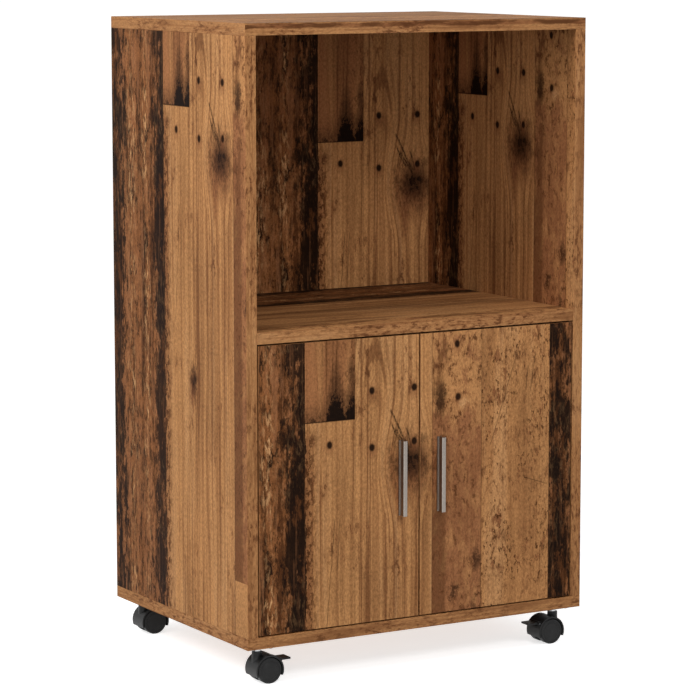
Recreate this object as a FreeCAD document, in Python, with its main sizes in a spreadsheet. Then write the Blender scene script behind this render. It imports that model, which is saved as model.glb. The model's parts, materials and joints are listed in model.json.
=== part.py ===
import FreeCAD, Part
import math
import os
import re
import Sketcher
from FreeCAD import Placement, Rotation, Vector

# Mobile printer stand: an open niche over a two-door cupboard, on four twin-wheel castors.
# Millimetres. X runs to the right as seen from the front, the doors face -Y, Z is up, and the
# origin is on the floor under the centre of the whole object, handles included.

SIZES = {
    # carcass
    "width": 600,
    "depth": 440,
    "body_height": 930,
    "board": 18,
    "shelf_rise": 477,
    "back_board": 3,
    "back_inset": 8,
    "groove_depth": 5,
    "groove_fit": 0.2,
    # joints between the boards
    "dowel_radius": 4,
    "dowel_length": 34,
    "dowel_bite": 10,
    "dowel_inset": 60,
    "cam_radius": 7.5,
    "cam_depth": 13,
    "cam_setback": 24,
    "cam_inset": 90,
    "bolt_radius": 3,
    "bolt_bite": 10,
    "long_screw_radius": 2.5,
    "long_screw_head": 5,
    "long_screw_head_depth": 4,
    "long_screw_length": 50,
    # doors and handles
    "door_gap": 2.5,
    "door_edge_round": 1,
    "handle_length": 116,
    "handle_width": 7,
    "handle_web": 4,
    "handle_foot": 2.5,
    "handle_lip": 3,
    "handle_depth": 16,
    "handle_chamfer": 0.8,
    "handle_offset": 34.5,
    "handle_screw_spacing": 96,
    "handle_screw_radius": 1.5,
    "handle_screw_bite": 9,
    # concealed hinges
    "hinge_inset": 80,
    "hinge_reach": 23,
    "hinge_pivot_depth": 10,
    "cup_offset": 3.5,
    "cup_radius": 17.5,
    "cup_under_pin": 4.5,
    "cup_wall": 1.2,
    "cup_flange": 1.2,
    "cup_flange_width": 26,
    "cup_flange_length": 60,
    "cup_screw_spacing": 48,
    "small_screw_radius": 1.75,
    "small_screw_length": 12,
    "hinge_pin_radius": 1.5,
    "running_fit": 0.05,
    "arm_thickness": 2.4,
    "arm_width": 14,
    "arm_edge_clearance": 1.6,
    "arm_cup_clearance": 4.57,
    "arm_leg_end": 78,
    "plate_setback": 37,
    "plate_width": 14,
    "plate_length": 46,
    "plate_thickness": 2,
    "plate_screw_spacing": 32,
    # castors
    "castor_side_inset": 32,
    "castor_end_inset": 30,
    "castor_trail": 13,
    "castor_plate": 42,
    "castor_plate_thickness": 2,
    "castor_screw_spacing": 30,
    "castor_screw_radius": 2,
    "castor_screw_length": 14,
    "stem_radius": 3.5,
    "collar_radius": 5.5,
    "boss_radius": 8,
    "collar_height": 7.2,
    "boss_rise": 8.5,
    "boss_root": 8,
    "stem_root": 4,
    "stem_play": 0.3,
    "wheel_radius": 20,
    "wheel_width": 12.1,
    "wheel_side_play": 0.5,
    "wheel_chamfer": 1.5,
    "axle_radius": 2.5,
    "axle_cover": 2.1,
    "tread_gap": 1.2,
    "hood_wall": 2.5,
    "hood_overhang": 0.4,
    "hood_web": 10,
    "hood_skirt": 8.5,
    # brake levers on the front castors
    "brake_angle": 35,
    "brake_setout": 0.3,
    "brake_eye_radius": 3.2,
    "brake_pin_radius": 1,
    "brake_width": 22,
    "brake_length": 19.3,
    "brake_thickness": 3,
    "brake_lug": 2.7,
    "brake_play": 0.3,
}

# Sizes that follow from the others.
DERIVED = {
    "cup_depth": "board - hinge_pivot_depth + cup_under_pin",
    "arm_bend_radius": "sqrt((hinge_reach - door_gap)^2 + (board - hinge_pivot_depth)^2)"
                       " + arm_thickness / 2 + arm_edge_clearance",
    "hood_inner_radius": "wheel_radius + tread_gap",
    "hood_radius": "hood_inner_radius + hood_wall",
    "wheel_inner": "hood_web / 2 + wheel_side_play",
    "wheel_outer": "wheel_inner + wheel_width",
    "hood_half_width": "wheel_outer + hood_overhang",
    "axle_half_length": "wheel_outer - axle_cover",
    "boss_top": "2 * wheel_radius + boss_rise",
    "boss_foot": "wheel_radius + boss_root",
    "stem_bottom": "wheel_radius + stem_root",
    "castor_height": "boss_top + stem_play + collar_height + castor_plate_thickness",
    "brake_reach": "hood_radius + brake_setout",
}

DOOR_WIDTH = "((width - 2 * board - 3 * door_gap) / 2)"
DOOR_HEIGHT = "(shelf_rise - 2 * board - 2 * door_gap)"
SIDE_HEIGHT = "(body_height - 2 * board)"
INNER_WIDTH = "(width - 2 * board)"
SHELF_DEPTH = "(depth - back_inset - back_board - groove_fit)"
FRONT_Y = "((handle_depth - depth) / 2)"
HANDLE_SCREW_HEAD = 3.0
SCREW_HEAD = 4.0
SCREW_HEAD_HEIGHT = 2.0

doc = FreeCAD.newDocument("PrinterStand")
sheet = doc.addObject("Spreadsheet::Sheet", "Sizes")
cells = [(alias, str(value)) for alias, value in SIZES.items()]
cells += [(alias, "=" + text) for alias, text in DERIVED.items()]
for row, (alias, content) in enumerate(cells, start=1):
    sheet.set("A%d" % row, alias)
    sheet.setAlias("B%d" % row, alias)
    sheet.set("B%d" % row, content)
doc.recompute()

nodes = []


def size(alias):
    """Read one size from the sheet as a plain number."""
    return float(sheet.get(alias))


def bound(text):
    """Write an expression in sheet words: each alias becomes a reference to its cell."""
    def in_sheet(match):
        word = match.group()
        return "Sizes." + word if word in SIZES or word in DERIVED else word

    return re.sub(r"[a-z][a-z_]+", in_sheet, text)


def place(item, x="0", y="0", z="0", turn=0):
    """Put a sub-part at sheet expressions, turned about Z, and list it for export."""
    item.Placement = Placement(Vector(0, 0, 0), Rotation(Vector(0, 0, 1), turn))
    for axis, text in zip("xyz", (x, y, z)):
        item.setExpression("Placement.Base." + axis, bound(text))
    nodes.append(item)
    return item


def new_body(label):
    """Start a PartDesign body."""
    body = doc.addObject("PartDesign::Body", label)
    body.Label = label
    return body


def new_sketch(body, plane, offset="0"):
    """Add a sketch on one of the body's own origin planes, moved along the plane's normal."""
    sketch = body.newObject("Sketcher::SketchObject", "Sketch")
    origin_plane = next(item for item in body.Origin.OriginFeatures if item.Role == plane)
    sketch.AttachmentSupport = [(origin_plane, "")]
    sketch.MapMode = "FlatFace"
    sketch.setExpression("AttachmentOffset.Base.z", bound(offset))
    return sketch


def pin_point(sketch, geometry, point, x, y):
    """Hold a sketch point at sheet expressions, measured from the sketch's origin."""
    for kind, text in (("DistanceX", x), ("DistanceY", y)):
        index = sketch.addConstraint(Sketcher.Constraint(kind, -1, 1, geometry, point, 1.0))
        sketch.setExpression("Constraints[%d]" % index, bound(text))


def circles(sketch, centres, radius):
    """Draw equal circles at the given centres."""
    for x, y in centres:
        index = sketch.addGeometry(Part.Circle(Vector(1, 1, 0), Vector(0, 0, 1), 5.0))
        pin_point(sketch, index, 3, x, y)
        radius_index = sketch.addConstraint(Sketcher.Constraint("Radius", index, 5.0))
        sketch.setExpression("Constraints[%d]" % radius_index, bound(radius))


def polygon(sketch, points):
    """Draw a closed outline through the given points."""
    count = len(points)
    corners = [Vector(50 * math.cos(2 * math.pi * i / count), 50 * math.sin(2 * math.pi * i / count), 0)
               for i in range(count)]
    first = sketch.GeometryCount
    for i in range(count):
        sketch.addGeometry(Part.LineSegment(corners[i], corners[(i + 1) % count]))
    for i in range(count):
        following = first + (i + 1) % count
        sketch.addConstraint(Sketcher.Constraint("Coincident", first + i, 2, following, 1))
    for i, (x, y) in enumerate(points):
        pin_point(sketch, first + i, 1, x, y)


def rectangle(sketch, left, low, right, high):
    """Draw a rectangle between two corners."""
    polygon(sketch, [(left, low), (right, low), (right, high), (left, high)])


def pad(body, sketch, length, reverse=False, midplane=False):
    """Raise a sketch into a solid, along the plane's normal unless reversed."""
    feature = body.newObject("PartDesign::Pad", "Pad")
    feature.Profile = sketch
    feature.setExpression("Length", bound(length))
    feature.Reversed = reverse
    if midplane:
        feature.SideType = "Symmetric"
    body.Tip = feature
    return feature


def pocket(body, sketch, depth, along_normal=False, midplane=False):
    """Sink a sketch into the solid, against the plane's normal unless told to follow it."""
    feature = body.newObject("PartDesign::Pocket", "Pocket")
    feature.Profile = sketch
    feature.setExpression("Length", bound(depth))
    feature.Reversed = along_normal
    if midplane:
        feature.SideType = "Symmetric"
    body.Tip = feature
    return feature


def bores(body, plane, offset, centres, radius, depth, along_normal=False):
    """Drill equal round holes from one plane."""
    sketch = new_sketch(body, plane, offset)
    circles(sketch, centres, radius)
    return pocket(body, sketch, depth, along_normal)


def board_body(label, x_size, y_size, z_size):
    """A board with one corner at its body's origin."""
    body = new_body(label)
    sketch = new_sketch(body, "XY_Plane")
    rectangle(sketch, "0", "0", x_size, y_size)
    pad(body, sketch, z_size)
    return body


def shape_node(label, shape, x="0", y="0", z="0", turn=0):
    """Hold a shape made from the sheet's sizes as a sub-part."""
    item = doc.addObject("Part::Feature", label)
    item.Label = label
    item.Shape = shape
    return place(item, x, y, z, turn)


def back_groove(body, offset, left, right, along_normal=False):
    """Cut the groove that holds the back board across a horizontal board."""
    sketch = new_sketch(body, "XY_Plane", offset)
    rectangle(sketch, left, "depth - back_inset - back_board - groove_fit",
              right, "depth - back_inset + groove_fit")
    pocket(body, sketch, "groove_depth", along_normal)


def castor_places():
    """Name each castor with its side, its end and the expressions of its swivel axis."""
    ends = (("front", FRONT_Y + " + castor_end_inset"),
            ("rear", FRONT_Y + " + depth - castor_end_inset"))
    for end, y in ends:
        for side, sign in (("left", -1), ("right", 1)):
            yield end, side, sign, "%d * (width / 2 - castor_side_inset)" % sign, y


# Carcass ------------------------------------------------------------------------------------

EDGE_ROWS = ["dowel_inset", "depth / 2", "depth - dowel_inset"]
CAM_ROWS = ["cam_inset", "depth - cam_inset"]
SHELF_DOWEL_ROWS = ["dowel_inset", "depth - dowel_inset"]
BOARD_MIDDLES = ["board / 2", "width - board / 2"]


def make_bottom_panel():
    """Bottom board, drilled from below for the castors and for the screws into the sides."""
    body = board_body("bottom_panel", "width", "depth", "board")
    pilot_centres = []
    for end_y in ("castor_end_inset", "depth - castor_end_inset"):
        for end_x in ("castor_side_inset", "width - castor_side_inset"):
            for sign_x in "-+":
                for sign_y in "-+":
                    pilot_centres.append((end_x + sign_x + " castor_screw_spacing / 2",
                                          end_y + sign_y + " castor_screw_spacing / 2"))
    bores(body, "XY_Plane", "0", pilot_centres, "castor_screw_radius",
          "castor_screw_length - castor_plate_thickness", along_normal=True)
    screw_centres = [(x, y) for x in BOARD_MIDDLES for y in BOTTOM_SCREW_ROWS]
    bores(body, "XY_Plane", "0", screw_centres, "long_screw_radius", "board", along_normal=True)
    bores(body, "XY_Plane", "0", screw_centres, "long_screw_head",
          "long_screw_head_depth", along_normal=True)
    back_groove(body, "board", "board - groove_depth", "width - board + groove_depth")
    return place(body, "-width / 2", FRONT_Y, "castor_height")


# The screws into the sides stand clear of the castor plates.
BOTTOM_SCREW_ROWS = ["castor_end_inset + castor_plate", "depth / 2",
                     "depth - castor_end_inset - castor_plate"]


def make_top_panel():
    """Top board, which the printer stands on, with blind holes for the dowels."""
    body = board_body("top_panel", "width", "depth", "board")
    centres = [(x, y) for x in BOARD_MIDDLES for y in EDGE_ROWS]
    bores(body, "XY_Plane", "0", centres, "dowel_radius", "dowel_bite", along_normal=True)
    back_groove(body, "0", "board - groove_depth", "width - board + groove_depth", along_normal=True)
    return place(body, "-width / 2", FRONT_Y, "castor_height + body_height - board")


def make_side_panel(label, inner_face, toward_normal, x):
    """Side board: a groove for the back, and bores for dowels, shelf bolts, hinges and screws."""
    body = board_body(label, "board", "depth", SIDE_HEIGHT)
    groove = new_sketch(body, "YZ_Plane", inner_face)
    rectangle(groove, "depth - back_inset - back_board - groove_fit", "0",
              "depth - back_inset + groove_fit", SIDE_HEIGHT)
    pocket(body, groove, "groove_depth", toward_normal)
    shelf_middle = "shelf_rise - 1.5 * board"
    bores(body, "YZ_Plane", inner_face, [(y, shelf_middle) for y in CAM_ROWS],
          "bolt_radius", "bolt_bite", toward_normal)
    bores(body, "YZ_Plane", inner_face, [(y, shelf_middle) for y in SHELF_DOWEL_ROWS],
          "dowel_radius", "dowel_bite", toward_normal)
    plate_holes = [("plate_setback", z + sign + " plate_screw_spacing / 2")
                   for z in HINGE_HEIGHTS for sign in "-+"]
    bores(body, "YZ_Plane", inner_face, plate_holes, "small_screw_radius",
          "small_screw_length", toward_normal)
    bores(body, "XY_Plane", SIDE_HEIGHT, [("board / 2", y) for y in EDGE_ROWS],
          "dowel_radius", "dowel_length - dowel_bite")
    bores(body, "XY_Plane", "0", [("board / 2", y) for y in BOTTOM_SCREW_ROWS],
          "long_screw_radius", "long_screw_length - board", along_normal=True)
    return place(body, x, FRONT_Y, "castor_height + board")


# Hinge heights above the top of the bottom board.
HINGE_HEIGHTS = ["door_gap + hinge_inset", "door_gap + " + DOOR_HEIGHT + " - hinge_inset"]


def make_middle_shelf():
    """Board between the niche and the cupboard, held by cams in its underside."""
    body = board_body("middle_shelf", INNER_WIDTH, SHELF_DEPTH, "board")
    cam_centres = [(x, y) for x in ("cam_setback", INNER_WIDTH + " - cam_setback") for y in CAM_ROWS]
    bores(body, "XY_Plane", "0", cam_centres, "cam_radius", "cam_depth", along_normal=True)
    for offset, inward in (("0", True), (INNER_WIDTH, False)):
        bores(body, "YZ_Plane", offset, [(y, "board / 2") for y in CAM_ROWS],
              "bolt_radius", "cam_setback", inward)
        bores(body, "YZ_Plane", offset, [(y, "board / 2") for y in SHELF_DOWEL_ROWS],
              "dowel_radius", "dowel_length - dowel_bite", inward)
    return place(body, "-width / 2 + board", FRONT_Y, "castor_height + shelf_rise - board")


def make_back_panel():
    """Thin back board, standing in grooves on all four sides."""
    body = board_body("back_panel", INNER_WIDTH + " + 2 * groove_depth - 2 * groove_fit", "back_board",
                      SIDE_HEIGHT + " + 2 * groove_depth - 2 * groove_fit")
    return place(body, "-width / 2 + board - groove_depth + groove_fit",
                 FRONT_Y + " + depth - back_inset - back_board",
                 "castor_height + board - groove_depth")


def front_y():
    """Depth of the boards' front edges, as a number."""
    return (size("handle_depth") - size("depth")) / 2


def rows(kind):
    """Distances from the front edge of a row of dowels, cams or screws."""
    depth = size("depth")
    if kind == "screws":
        inset = size("castor_end_inset") + size("castor_plate")
    else:
        inset = size(kind + "_inset")
    return [inset, depth / 2, depth - inset]


def make_dowels():
    """Wooden dowels: upright ones under the top board, level ones at the shelf's ends."""
    radius, length, bite = size("dowel_radius"), size("dowel_length"), size("dowel_bite")
    half_width, board = size("width") / 2, size("board")
    top_z = size("castor_height") + size("body_height") - board
    shelf_z = size("castor_height") + size("shelf_rise") - board / 2
    solids = []
    for side in (-1, 1):
        for y in rows("dowel"):
            foot = Vector(side * (half_width - board / 2), front_y() + y, top_z + bite - length)
            solids.append(Part.makeCylinder(radius, length, foot))
        for y in rows("dowel")[::2]:
            end = Vector(side * (half_width - board + bite), front_y() + y, shelf_z)
            solids.append(Part.makeCylinder(radius, length, end, Vector(-side, 0, 0)))
    return shape_node("wood_dowels", Part.Compound(solids))


def make_cams():
    """Cam housings in the shelf's underside, each with a slot that takes a bolt head."""
    radius, depth, setback = size("cam_radius"), size("cam_depth"), size("cam_setback")
    inner_x = size("width") / 2 - size("board")
    under_z = size("castor_height") + size("shelf_rise") - size("board")
    bolt_z = under_z + size("board") / 2
    solids = []
    for side in (-1, 1):
        for y in rows("cam")[::2]:
            centre = Vector(side * (inner_x - setback), front_y() + y, under_z)
            cam = Part.makeCylinder(radius, depth, centre)
            mouth = Vector(centre.x, centre.y, bolt_z)
            slot = Part.makeCylinder(size("bolt_radius"), radius, mouth, Vector(side, 0, 0))
            drive = Part.makeBox(radius, 1.2, 1.5, centre - Vector(radius / 2, 0.6, 0))
            solids.append(cam.cut(slot).cut(drive))
    return shape_node("cam_locks", Part.Compound(solids))


def make_cam_bolts():
    """Steel bolts that stand out of the sides and end in the cams."""
    inner_x = size("width") / 2 - size("board")
    bolt_z = size("castor_height") + size("shelf_rise") - size("board") / 2
    bite, setback = size("bolt_bite"), size("cam_setback")
    solids = []
    for side in (-1, 1):
        for y in rows("cam")[::2]:
            start = Vector(side * (inner_x + bite), front_y() + y, bolt_z)
            solids.append(Part.makeCylinder(size("bolt_radius"), bite + setback,
                                            start, Vector(-side, 0, 0)))
    return shape_node("cam_bolts", Part.Compound(solids))


def make_carcass_screws():
    """Long screws driven up through the bottom board into the sides."""
    half_width, board = size("width") / 2, size("board")
    solids = []
    for side in (-1, 1):
        for y in rows("screws"):
            foot = Vector(side * (half_width - board / 2), front_y() + y, size("castor_height"))
            shank = Part.makeCylinder(size("long_screw_radius"), size("long_screw_length"), foot)
            head = Part.makeCylinder(size("long_screw_head"), size("long_screw_head_depth"), foot)
            socket = Part.makeBox(3, 3, 2.5, foot - Vector(1.5, 1.5, 0))
            solids.append(shank.fuse(head).removeSplitter().cut(socket))
    return shape_node("carcass_screws", Part.Compound(solids))


# Doors --------------------------------------------------------------------------------------


def from_hinge(side, distance):
    """A place along the door, measured from its hinge edge."""
    return distance if side == "left" else DOOR_WIDTH + " - (" + distance + ")"


def door_x(side):
    """Left edge of a door."""
    return "-width / 2 + board + door_gap" if side == "left" else "door_gap / 2"


def make_door(side):
    """Inset door with cup bores, pilot holes and handle screw holes in its back."""
    body = board_body(side + "_door", DOOR_WIDTH, "board", DOOR_HEIGHT)
    cup_x = from_hinge(side, "hinge_reach - door_gap + cup_offset")
    heights = ["hinge_inset", DOOR_HEIGHT + " - hinge_inset"]
    bores(body, "XZ_Plane", "-board", [(cup_x, z) for z in heights],
          "cup_radius", "cup_depth", along_normal=True)
    pilot_centres = [(cup_x, z + sign + " cup_screw_spacing / 2") for z in heights for sign in "-+"]
    bores(body, "XZ_Plane", "-board", pilot_centres, "small_screw_radius",
          "small_screw_length", along_normal=True)
    handle_x = from_hinge(side, DOOR_WIDTH + " + door_gap / 2 - handle_offset")
    handle_centres = [(handle_x, DOOR_HEIGHT + " / 2" + sign + " handle_screw_spacing / 2")
                      for sign in "-+"]
    bores(body, "XZ_Plane", "-board", handle_centres, "handle_screw_radius", "board", along_normal=True)
    doc.recompute()
    drilled = body.Tip
    front_edges = ["Edge%d" % (index + 1) for index, edge in enumerate(drilled.Shape.Edges)
                   if edge.BoundBox.YMax < 1e-3 and edge.BoundBox.XLength < 1e-3]
    rounding = body.newObject("PartDesign::Fillet", "Rounding")
    rounding.Base = (drilled, front_edges)
    rounding.setExpression("Radius", bound("door_edge_round"))
    body.Tip = rounding
    return place(body, door_x(side), FRONT_Y, "castor_height + board + door_gap")


def make_handle(side):
    """Upright I-section pull: a foot on the door, a web and a front lip."""
    body = new_body(side + "_handle")
    sketch = new_sketch(body, "XY_Plane")
    half, web = "handle_width / 2", "handle_web / 2"
    right_side = [(half, "0"), (half, "-handle_foot"), (web, "-handle_foot"),
                  (web, "handle_lip - handle_depth"), (half, "handle_lip - handle_depth"),
                  (half, "handle_chamfer - handle_depth"),
                  (half + " - handle_chamfer", "-handle_depth")]
    left_side = [("-(" + x + ")", y) for x, y in reversed(right_side)]
    polygon(sketch, right_side + left_side)
    pad(body, sketch, "handle_length")
    centres = [("0", "handle_length / 2" + sign + " handle_screw_spacing / 2") for sign in "-+"]
    bores(body, "XZ_Plane", "0", centres, "handle_screw_radius", "handle_screw_bite", along_normal=True)
    sign = "-" if side == "left" else ""
    handle_z = "castor_height + board + door_gap + (" + DOOR_HEIGHT + " - handle_length) / 2"
    return place(body, sign + "handle_offset", FRONT_Y, handle_z)


def door_middle():
    """Height of the doors' middle above the floor."""
    return size("castor_height") + size("shelf_rise") / 2


def make_handle_screws(side):
    """Machine screws from inside the door into the handle."""
    x = size("handle_offset") * (-1 if side == "left" else 1)
    back_y = front_y() + size("board")
    solids = []
    for sign in (-1, 1):
        start = Vector(x, back_y, door_middle() + sign * size("handle_screw_spacing") / 2)
        shank = Part.makeCylinder(size("handle_screw_radius"), size("board") + size("handle_screw_bite"),
                                  start, Vector(0, -1, 0))
        head = Part.makeCylinder(HANDLE_SCREW_HEAD, SCREW_HEAD_HEIGHT, start, Vector(0, 1, 0))
        solids.append(shank.fuse(head).removeSplitter())
    return shape_node(side + "_handle_screws", Part.Compound(solids))


# Hinges -------------------------------------------------------------------------------------
# Each shape is drawn for a left hinge with the pin's axis at the origin: X runs from the side
# board into the opening and Y into the cupboard. A right hinge is its mirror image.


def hinge_places(side):
    """Pin positions of a door's two hinges, in the frame of the whole object."""
    x = size("width") / 2 - size("board") - size("hinge_reach")
    y = front_y() + size("hinge_pivot_depth")
    half = (size("shelf_rise") - 2 * size("board") - 2 * size("door_gap")) / 2 - size("hinge_inset")
    sign = -1 if side == "left" else 1
    return [Vector(sign * x, y, door_middle() + up * half) for up in (-1, 1)]


def both_hinges(side, name, shape):
    """Set one hinge shape at each of a door's two hinges."""
    if side == "right":
        shape = shape.mirror(Vector(0, 0, 0), Vector(1, 0, 0))
    solids = []
    for position in hinge_places(side):
        copy = shape.copy()
        copy.translate(position)
        solids.extend(copy.Solids)
    return shape_node(side + "_" + name, Part.Compound(solids))


def cup_mouth_y():
    """Distance from the pin to the door's back face."""
    return size("board") - size("hinge_pivot_depth")


def hinge_cup():
    """Pressed cup with a screwed flange; the pin spans the cup."""
    wall, radius, flange = size("cup_wall"), size("cup_radius"), size("cup_flange")
    mouth = cup_mouth_y()
    floor = Vector(size("cup_offset"), mouth - size("cup_depth"), 0)
    outer = Part.makeCylinder(radius, size("cup_depth"), floor, Vector(0, 1, 0))
    plate = Part.makeBox(size("cup_flange_width"), flange, size("cup_flange_length"),
                         Vector(size("cup_offset") - size("cup_flange_width") / 2, mouth,
                                -size("cup_flange_length") / 2))
    rim = Part.makeCylinder(radius + flange, flange, Vector(floor.x, mouth, 0), Vector(0, 1, 0))
    hollow = Part.makeCylinder(radius - wall, size("cup_depth") + flange,
                               floor + Vector(0, wall, 0), Vector(0, 1, 0))
    cup = outer.fuse([plate, rim]).removeSplitter().cut(hollow)
    for sign in (-1, 1):
        hole_at = Vector(floor.x, mouth, sign * size("cup_screw_spacing") / 2)
        cup = cup.cut(Part.makeCylinder(size("small_screw_radius"), flange, hole_at, Vector(0, 1, 0)))
    return cup.cut(hinge_pin())


def hinge_pin():
    """Pin across the cup, pressed into its wall at both ends."""
    half = math.sqrt((size("cup_radius") - size("cup_wall") / 2) ** 2 - size("cup_offset") ** 2)
    return Part.makeCylinder(size("hinge_pin_radius"), 2 * half, Vector(0, 0, -half))


def arm_exit_angle():
    """Angle at which the arm leaves the pin, so that its edge passes inside the cup's rim."""
    rim_x = size("cup_offset") + size("cup_radius") - size("cup_wall")
    edge_x = rim_x - size("arm_cup_clearance")
    edge_y = cup_mouth_y() + size("cup_flange")
    return math.atan2(edge_y, edge_x) + math.asin(size("arm_thickness") / 2 / math.hypot(edge_x, edge_y))


def hinge_arm():
    """Cranked arm: an eye on the pin, a bend that clears the swinging door edge, and a leg."""
    radius, width, half = size("arm_bend_radius"), size("arm_width"), size("arm_thickness") / 2
    exit_angle = arm_exit_angle()
    leave = Vector(math.cos(exit_angle), math.sin(exit_angle), 0)
    middle = (exit_angle + math.pi / 2) / 2
    crest = Vector(0, radius, 0)
    bend = Part.Arc(leave * radius, Vector(math.cos(middle), math.sin(middle), 0) * radius, crest)
    leg_x = leg_line()
    knee = Vector(leg_x, radius + size("arm_thickness") * 4, 0)
    leg_end = Vector(leg_x, size("arm_leg_end") - size("hinge_pivot_depth"), 0)
    path = Part.Wire([Part.LineSegment(Vector(0, 0, 0), leave * radius).toShape(), bend.toShape(),
                      Part.LineSegment(crest, knee).toShape(), Part.LineSegment(knee, leg_end).toShape()])
    outline = path.makeOffset2D(half, 0, False, False, False)
    strap = Part.Face(outline).extrude(Vector(0, 0, width))
    strap.translate(Vector(0, 0, -width / 2))
    eye_radius = size("hinge_pin_radius") + half
    eye = Part.makeCylinder(eye_radius, width, Vector(0, 0, -width / 2))
    bore = Part.makeCylinder(size("hinge_pin_radius") + size("running_fit"), width,
                             Vector(0, 0, -width / 2))
    return strap.fuse(eye).removeSplitter().cut(bore).cut(arm_screw())


def leg_line():
    """Middle of the arm's leg: it lies on the mounting plate's rib."""
    return -size("hinge_reach") + plate_rib() + size("arm_thickness") / 2


def plate_rib():
    """Height of the mounting plate's rib above the side board."""
    return 3 * size("plate_thickness")


def hinge_plate():
    """Mounting plate: two ears screwed to the side board and a rib that carries the arm."""
    side_x = -size("hinge_reach")
    setback = size("plate_setback") - size("hinge_pivot_depth")
    width, length, width_of_arm = size("plate_width"), size("plate_length"), size("arm_width")
    ears = Part.makeBox(size("plate_thickness"), width, length,
                        Vector(side_x, setback - width / 2, -length / 2))
    rib_end = size("arm_leg_end") - size("hinge_pivot_depth")
    rib_start = setback + width / 2
    rib = Part.makeBox(plate_rib(), rib_end - rib_start, width_of_arm,
                       Vector(side_x, rib_start, -width_of_arm / 2))
    plate = ears.fuse(rib).removeSplitter()
    for sign in (-1, 1):
        hole_at = Vector(side_x, setback, sign * size("plate_screw_spacing") / 2)
        plate = plate.cut(Part.makeCylinder(size("small_screw_radius"), size("plate_thickness"),
                                            hole_at, Vector(1, 0, 0)))
    return plate.cut(arm_screw())


def arm_screw():
    """Machine screw that clamps the arm's leg to the plate's rib."""
    y = size("arm_leg_end") - size("hinge_pivot_depth") - size("arm_width")
    face_x = -size("hinge_reach") + plate_rib() + size("arm_thickness")
    shank_length = size("arm_thickness") + plate_rib() - size("plate_thickness") / 2
    shank = Part.makeCylinder(size("small_screw_radius"), shank_length,
                              Vector(face_x, y, 0), Vector(-1, 0, 0))
    head = Part.makeCylinder(SCREW_HEAD, SCREW_HEAD_HEIGHT, Vector(face_x, y, 0), Vector(1, 0, 0))
    return shank.fuse(head).removeSplitter()


def cup_screws():
    """Wood screws through the cup's flange into the door."""
    solids = []
    for sign in (-1, 1):
        face = Vector(size("cup_offset"), cup_mouth_y() + size("cup_flange"),
                      sign * size("cup_screw_spacing") / 2)
        shank = Part.makeCylinder(size("small_screw_radius"),
                                  size("small_screw_length") + size("cup_flange"),
                                  face, Vector(0, -1, 0))
        head = Part.makeCylinder(SCREW_HEAD, SCREW_HEAD_HEIGHT, face, Vector(0, 1, 0))
        solids.append(shank.fuse(head).removeSplitter())
    return Part.Compound(solids)


def plate_screws():
    """Wood screws through the plate's ears, and the screw that clamps the arm."""
    solids = [arm_screw()]
    for sign in (-1, 1):
        face = Vector(-size("hinge_reach") + size("plate_thickness"),
                      size("plate_setback") - size("hinge_pivot_depth"),
                      sign * size("plate_screw_spacing") / 2)
        shank = Part.makeCylinder(size("small_screw_radius"),
                                  size("small_screw_length") + size("plate_thickness"),
                                  face, Vector(-1, 0, 0))
        head = Part.makeCylinder(SCREW_HEAD, SCREW_HEAD_HEIGHT, face, Vector(1, 0, 0))
        solids.append(shank.fuse(head).removeSplitter())
    return Part.Compound(solids)


def make_hinges(side):
    """Every part of a door's two hinges."""
    both_hinges(side, "hinge_cups", hinge_cup())
    both_hinges(side, "hinge_pins", hinge_pin())
    both_hinges(side, "hinge_arms", hinge_arm())
    both_hinges(side, "hinge_plates", hinge_plate())
    both_hinges(side, "cup_screws", cup_screws())
    both_hinges(side, "hinge_plate_screws", plate_screws())


# Castors ------------------------------------------------------------------------------------
# A left castor trails towards +X, a right one is turned half round. Bodies stand on the floor
# under the swivel axis, apart from the wheels, axle, hood and lever, which are drawn about the
# axle and moved along the trail.


def axle_x(sign, x):
    """Place of the axle across the stand."""
    return x + (" + castor_trail" if sign < 0 else " - castor_trail")


def castor_turn(sign):
    """Turn of a castor about its swivel axis, in degrees."""
    return 0 if sign < 0 else 180


def make_castor_plate(name, sign, x, y):
    """Square steel plate with four screw holes and a hole for the stem's riveted end."""
    body = new_body(name + "_plate")
    sketch = new_sketch(body, "XY_Plane")
    half = "castor_plate / 2"
    rectangle(sketch, "-" + half, "-" + half, half, half)
    pad(body, sketch, "castor_plate_thickness")
    centres = [(sx + "castor_screw_spacing / 2", sy + "castor_screw_spacing / 2")
               for sx in "-+" for sy in "-+"]
    bores(body, "XY_Plane", "0", centres, "castor_screw_radius",
          "castor_plate_thickness", along_normal=True)
    bores(body, "XY_Plane", "0", [("0", "0")], "stem_radius", "castor_plate_thickness", along_normal=True)
    return place(body, x, y, "castor_height - castor_plate_thickness", castor_turn(sign))


def make_castor_stem(name, sign, x, y):
    """Swivel pin with a thicker collar under the plate."""
    body = new_body(name + "_stem")
    sketch = new_sketch(body, "XZ_Plane")
    under_plate = "castor_height - castor_plate_thickness"
    collar_foot = "boss_top + stem_play"
    polygon(sketch, [("0", "stem_bottom + stem_play"), ("stem_radius", "stem_bottom + stem_play"),
                     ("stem_radius", collar_foot), ("collar_radius", collar_foot),
                     ("collar_radius", under_plate), ("stem_radius", under_plate),
                     ("stem_radius", "castor_height"), ("0", "castor_height")])
    turned = body.newObject("PartDesign::Revolution", "Turned")
    turned.Profile = sketch
    turned.ReferenceAxis = (sketch, ["V_Axis"])
    turned.Angle = 360
    body.Tip = turned
    return place(body, x, y, "0", castor_turn(sign))


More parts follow.
